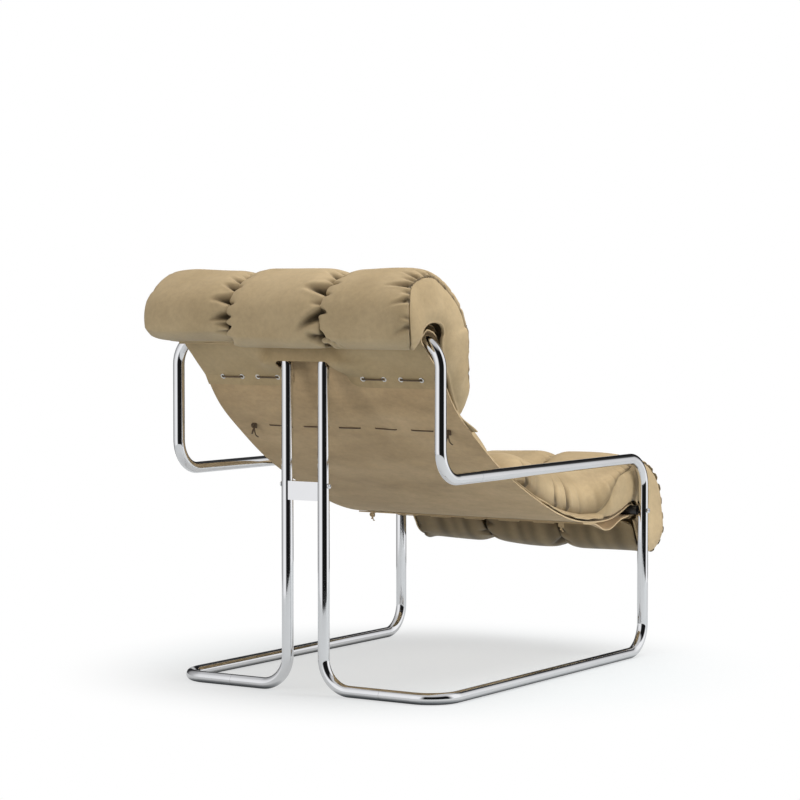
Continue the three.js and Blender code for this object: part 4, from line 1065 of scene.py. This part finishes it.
def gather(row_name, word, outer_side, skin, S, L, draw, crest):
    """Presses pleats into the skin along its seams and swells round lobes between them. Also returns painted
    shade: darker in the pleat valleys, along the seams and under the seat roll.
    """
    du = np.gradient(skin, axis=0)
    facing = np.cross(np.gradient(skin, axis=1), du)
    facing /= np.maximum(np.linalg.norm(facing, axis=-1, keepdims=True), 1e-9)
    row = ROWS[row_name]
    base = pad_line.at(row["start"] + S[:, 0] * row["length"])[0]
    wrong = np.sum(facing[..., 1:] * (skin[..., 1:] - base[:, None, :]), axis=-1) < 0
    facing[wrong] *= -1
    shift, slide, painted_shade = np.zeros_like(S), np.zeros_like(S), np.zeros_like(S)
    full = smoothstep(crest, 8, 45)[:, None]
    for side in (-1, 1):
        edge = skin[:, 5 if side < 0 else -6, 1:]
        run = np.append(0, np.cumsum(np.linalg.norm(np.diff(edge, axis=0), axis=1)))[:, None]
        reach = run[-1, 0]
        gap = (1 - side * L) * draw[:, None]
        seam_side = side != outer_side
        pleats = pleats_for(row_name, word, side, outer_side)
        for place, depth, far, slant, width in pleats:
            left = np.clip(1 - gap / far, 0, 1)
            apart = np.abs(run - place * reach - slant * gap)
            wide = width * (0.38 + 0.62 * left)
            groove = bell(apart, wide) * left ** 1.2
            if not seam_side:
                groove = groove * (0.12 + 0.88 * smoothstep(gap, 0.5, 7))
            shift -= depth * groove * full
            shift += 0.20 * depth * bell(apart - 1.9 * wide, 0.9 * wide) * left * full
            # Painted shade darkens the pleat valleys.
            painted_shade += (depth / 10) * bell(apart, 0.85 * wide) * left ** 1.4 * full
            if seam_side and side > 0:
                slide -= 0.34 * depth * bell(apart, 0.8 * width) * bell(gap, 9) * full
        nearest = np.min([np.abs(run - pleat[0] * reach) for pleat in pleats], axis=0)
        swell = smoothstep(nearest, 0, 13) * bell(gap, 15)
        bulging = 2.4 if seam_side else 0.6
        if row_name == "seat" and not seam_side:
            bulging = 1.0 + 6.0 * hump(run / reach, 0.6, 0.7, 0.88, 0.94)
        shift += bulging * swell * full
        if seam_side and side > 0:
            slide += 4.2 * swell * full
        # Painted shade darkens the skin next to the seams.
        painted_shade += 0.5 * np.exp(-gap / 2.2) * full
    dice = np.random.RandomState(91 + 5 * len(word) + len(row_name) + int(row["start"]) % 17)
    u, v = np.cumsum(np.linalg.norm(du[:, 20, :], axis=-1))[:, None], skin[..., 0]
    for _ in range(8):
        ku, kv = dice.uniform(-1, 1, 2) / dice.uniform(18, 48)
        shift += 0.85 * np.sin(u * ku + v * kv + dice.uniform(0, 6.3)) * full
    if row_name == "seat":
        under = smoothstep(-skin[..., 2], -330, -285) * smoothstep(skin[..., 1], 700, 860)
        creased = np.sin(v / 7.5 + 1.5 * np.sin(v / 31)) + 0.8 * np.sin(v / 13 + 2.0)
        shift += under * 1.5 * creased * smoothstep(-skin[..., 1], -930, -850) * full
        # Painted shade under the seat roll, where it faces the floor.
        painted_shade += under * (0.6 + 0.11 * creased)
    skin = skin + facing * shift[..., None]
    skin[..., 0] += slide
    return skin, np.clip(painted_shade, 0, 1) * 0.92


def settle(row_name, word, skin, S):
    """Small uneven sags: the head roll hangs lower in the middle, the seat roll leans to one side."""
    x, depth, height = np.moveaxis(skin, -1, 0)
    if row_name == "head":
        sag = {"left": -6.0, "middle": 8.0, "right": 9.0}[word]
        height = height - sag * smoothstep(-depth, 10, 60) * smoothstep(-height, -800, -745)
        ahead = pad_line.at(head_end)[0] - pad_line.at(head_end - 20)[0]
        hang = 14 / 20 * smoothstep(S, 0.84, 1) * smoothstep(np.abs(x), 220, 300)
        depth = depth + ahead[0] * hang
        height = height + ahead[1] * hang
    if row_name == "seat":
        low = smoothstep(-height, -345, -270) * smoothstep(depth, 790, 880)
        x = x - low * (18 + 0.020 * x)
        height = height + low * (4.0 + 0.016 * x)
    return np.stack([x, depth, height], axis=-1)


def end_panel(row_name, word, side, start):
    """The flat side of a roll: a panel that swells a little inside its seam."""
    row, on_head = ROWS[row_name], row_name == "head"
    shares = row_shares(row, 7.0)
    shares = shares[shares >= start]
    point, normal = row_side(row_name, shares)
    further = pad_line.at(row_at(row, shares) + 20)[0] - point
    level = np.concatenate([[0, 0.015, 0.03, 0.05, 0.075], np.linspace(0.12, 1, 13)])[None, :]
    S = shares[:, None]
    edge = row_thickness(row, S, 2) - 1
    up = edge * level
    run = np.append(0, np.cumsum(np.linalg.norm(np.diff(point, axis=0), axis=1)))[:, None]
    lap = 19 * hump(S, 0.32, 0.48, 0.56, 0.74) * on_head
    out = up - lap * (1 - level)
    cut_back = (1 - level) * (1 - smoothstep(S, 0, 0.13)) * on_head
    depth, height = (point[:, i, None] + normal[:, i, None] * out + further[:, i, None] * cut_back
                     for i in (0, 1))
    inset = np.minimum(np.minimum(level, 1 - level) * edge, np.minimum(run, run[-1] - run) + 2)
    bulge = 4.5 * (1 - np.exp(-inset / 9)) + 1.9 * bell(up - 2.0, 1.7) * on_head
    drawn = smoothstep(S, 0.52, 0.7) * np.sin(math.pi * level) * on_head
    bulge += 2.2 * drawn * np.sin(run / 13 + level * 3.4)
    pucker = 0.7 * np.sin(run / 6.1) * np.exp((up - edge) / 8)
    tucked = foot_draw(row_name, S) * np.exp(-(up / 16) ** 1.5)
    outline = outer_place(row_name, S) * (1 - level) + outer_place(row_name, S, side) * level
    inner = outline - tucked + 0.1 + row["flare"] * (height - TOP)
    skins = []
    for x in (inner + 2.9 + bulge + pucker, inner):
        skin = np.stack([side * x, depth, height], axis=-1)
        skins.append(flat_spots(settle(row_name, word, skin, S)))
    count, cols = out.shape
    base = count * cols
    rims = [(r * cols + c, cols) for r in range(count - 1) for c in (0, cols - 1)]
    rims += [(r * cols + c, 1) for r in (0, count - 1) for c in range(cols - 1)]
    faces = grid(count, cols) + grid(count, cols, base, turned=True)
    faces += [(a, a + step, base + a + step, base + a) for a, step in rims]
    piece = mesh_piece(f"{row_name}_gusset_{word}", np.concatenate(skins), faces)
    weld(piece)
    smooth_by_angle(piece, 50)
    own(piece, "pad_leather", pad_hide, f"{row_name}_end_panel_{word}")


def backing_sheet():
    columns = np.linspace(-PAD_HALF, PAD_HALF, 41)
    rows = [beside(pad_line, distance, columns, -1.3) for distance in even_steps(0, pad_line.total, 8)]
    piece = leather_sheet("pad_underside", rows, "pad_backing")
    apply_modifier(piece, "SOLIDIFY", thickness=0.002, offset=0)
    smooth_by_angle(piece, 50)


def seat_flange(word, side):
    """The sewn edge beside the seat puffs' feet, where the pad's two hides meet: it slopes down."""
    seat = ROWS["seat"]
    start, stop = back_end + 30, back_end + seat["length"] * 0.64
    stations = even_steps(start, stop, 4)
    shares = (stations - back_end) / seat["length"]
    inner = outer_place("seat", shares) - 5
    reach = 289 + 17 * smoothstep(shares, 0.10, 0.25)
    foot = row_thickness(seat, shares, 2) + 1.5
    across = np.linspace(0, 1, 9)
    rows = []
    for distance, place, rise, far in zip(stations, inner, foot, reach):
        wave = (0.9 * math.sin(distance / 9) + 0.7 * math.sin(distance / 17 + 1)) * across
        lift = -2.8 + (rise + 2.8) * (1 - across ** 1.2) + wave
        x = side * (place + (far + 0.8 * math.sin(distance / 12) - place) * across)
        rows.append(beside(pad_line, distance, x, lift))
    piece = leather_sheet(f"seat_flange_{word}", rows)
    apply_modifier(piece, "SOLIDIFY", thickness=0.0032, offset=0)
    apply_modifier(piece, "SUBSURF", levels=1, render_levels=1)


for row_name in ROWS:
    puff(row_name, "left", 1)
    puff(row_name, "middle", 0)
    puff(row_name, "right", -1)
for side, word in SIDES:
    end_panel("head", word, side, 0.0)
    end_panel("seat", word, side, 0.6)
backing_sheet()
for side, word in SIDES:
    seat_flange(word, side)


# ---------------------------------------------------------------- carried-over nodes

for name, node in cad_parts.items():
    metal = chrome if name == "post_spacer" else black_steel if "join_plug" in name else None
    if metal:
        node.data.materials.clear()
        node.data.materials.append(metal)


# ---------------------------------------------------------------- studio

VIEW_YAW = math.radians(32.857)
VIEW_DOWN = math.radians(2.369)
FLOOR_RADIUS = 2.1

# What polished metal sees round it: (degrees from the way back to the viewer, tone)
PANORAMA = [
    (-180, 0.30), (-128, 0.34), (-106, 0.50), (-92, 0.72), (-60, 0.95), (-36, 0.90), (-27, 0.35),
    (-20, 0.010), (60, 0.008), (68, 0.45), (78, 0.98), (106, 0.98), (124, 0.62), (131, 0.05), (150, 0.03),
    (180, 0.30),
]


def pale_floor():
    bpy.ops.object.select_all(action="DESELECT")
    bpy.ops.mesh.primitive_circle_add(vertices=96, radius=FLOOR_RADIUS, fill_type="NGON",
                                      location=(0, 0, -0.0005))
    floor = bpy.context.object
    floor.name = "pale_floor"
    material, tree, shader = new_material("pale_floor_finish", 0.75)
    place = object_place(tree)
    faint = noise_of(tree, place, 2.5, 3)
    tint = ramp_between(tree, faint, [(0.3, (0.69, 0.745, 0.76)), (0.7, (0.72, 0.77, 0.782))])
    set_inputs(tree, shader, Base_Color=tint)
    rays = add_node(tree, "LightPath").outputs
    spread = add_node(tree, "VectorMath", place, operation="LENGTH").outputs["Value"]
    fade = add_node(tree, "MapRange", spread, 0.38, 0.86, 0.56, interpolation_type="SMOOTHSTEP")
    share = add_node(tree, "Math", fade, rays["Is Camera Ray"], operation="MULTIPLY")
    glow = add_node(tree, "Emission", grey(1), 1.0)
    lit = add_node(tree, "MixShader", share, shader, glow)
    # Painted reflection: for glossy rays the floor glows, with painted shade where the tubes touch it and
    # pale farther off.
    contact_shade_ramp = add_node(tree, "MapRange", rays["Ray Length"], 0.006, 0.026, To_Max=0.62)
    painted_floor_reflection = add_node(tree, "Emission", Strength=contact_shade_ramp)
    gloss = add_node(tree, "Math", rays["Is Glossy Ray"], 0.7, operation="MULTIPLY")
    last = add_node(tree, "MixShader", gloss, lit, painted_floor_reflection)
    set_inputs(tree, tree.nodes["Material Output"], Surface=last)
    floor.data.materials.append(material)


def studio_world():
    """White walls for the camera. Polished metal also sees a dark stand beside the viewer and a dark
    surround past the backdrop, which give chrome its black bands and edges."""
    world = bpy.data.worlds.new("studio")
    bpy.context.scene.world = world
    world.use_nodes = True
    tree = world.node_tree
    tree.nodes.clear()
    rays = add_node(tree, "LightPath").outputs
    where = add_node(tree, "TexCoord").outputs["Generated"]

    def along(*direction):
        return add_node(tree, "VectorMath", where, direction, operation="DOT_PRODUCT").outputs["Value"]

    ahead_x, ahead_y = math.sin(VIEW_YAW), -math.cos(VIEW_YAW)
    aside, back = along(ahead_y, -ahead_x, 0), along(-ahead_x, -ahead_y, 0)
    turn = add_node(tree, "Math", aside, back, operation="ARCTAN2")
    wide = add_node(tree, "MapRange", turn, -math.pi, math.pi)
    stops = [((degrees + 180) / 360, (tone, tone, tone * 1.01)) for degrees, tone in PANORAMA]
    high = ramp_between(tree, along(0, 0, 1), [(0.66, grey(0)), (0.84, grey(1))])
    panels = blend_colour(tree, high, ramp_between(tree, wide, stops), (0.6, 0.6, 0.61))
    dim = (0.08, 0.08, 0.085)
    dimming = [(0.66, grey(1)), (0.84, dim), (0.972, dim), (0.985, grey(1.6))]
    surround = ramp_between(tree, along(ahead_x, ahead_y, 0), dimming)
    studio = add_node(tree, "Background", blend_colour(tree, 1.0, panels, surround, "MULTIPLY"), 1.0)
    plain = add_node(tree, "Background", grey(1), 0.26)
    white = add_node(tree, "Background", grey(1), 1.0)
    lit = add_node(tree, "MixShader", rays["Is Glossy Ray"], plain, studio)
    seen = add_node(tree, "Math", rays["Is Camera Ray"], rays["Is Transmission Ray"], operation="MAXIMUM")
    add_node(tree, "OutputWorld", add_node(tree, "MixShader", seen, lit, white))


def place_facing(name, data, place, gaze):
    """Puts a lamp or a camera in its place, looking along a direction."""
    thing = add_object(name, data)
    thing.location = place
    thing.rotation_euler = gaze.to_track_quat("-Z", "Y").to_euler()
    return thing


def soft_lamp(name, size, power, place, target):
    light = bpy.data.lights.new(name, "AREA")
    light.shape = "RECTANGLE"
    light.size, light.size_y = size
    light.energy = power
    lamp = place_facing(name, light, place, Vector(target) - Vector(place))
    lamp.visible_glossy = False


def photo_camera():
    data = bpy.data.cameras.new("photo_camera")
    data.lens = 114.0
    data.sensor_width = 36.0
    level = math.cos(VIEW_DOWN)
    gaze = Vector((math.sin(VIEW_YAW) * level, -math.cos(VIEW_YAW) * level, -math.sin(VIEW_DOWN)))
    place = (-3.0632, REAR + 4.3748, 0.8424)
    bpy.context.scene.camera = place_facing("photo_camera", data, place, gaze)


pale_floor()
studio_world()
soft_lamp("overhead_softbox", (2.0, 2.0), 68, (-0.5, -0.2, 3.0), (0, 0, 0.4))
soft_lamp("right_softbox", (1.5, 2.0), 65, (-3.1, -0.8, 1.35), (0, 0, 0.45))
soft_lamp("rear_fill", (1.8, 1.6), 33, (0.7, 3.5, 1.1), (0, 0, 0.5))
photo_camera()

scene = bpy.context.scene
scene.view_settings.view_transform = "Standard"
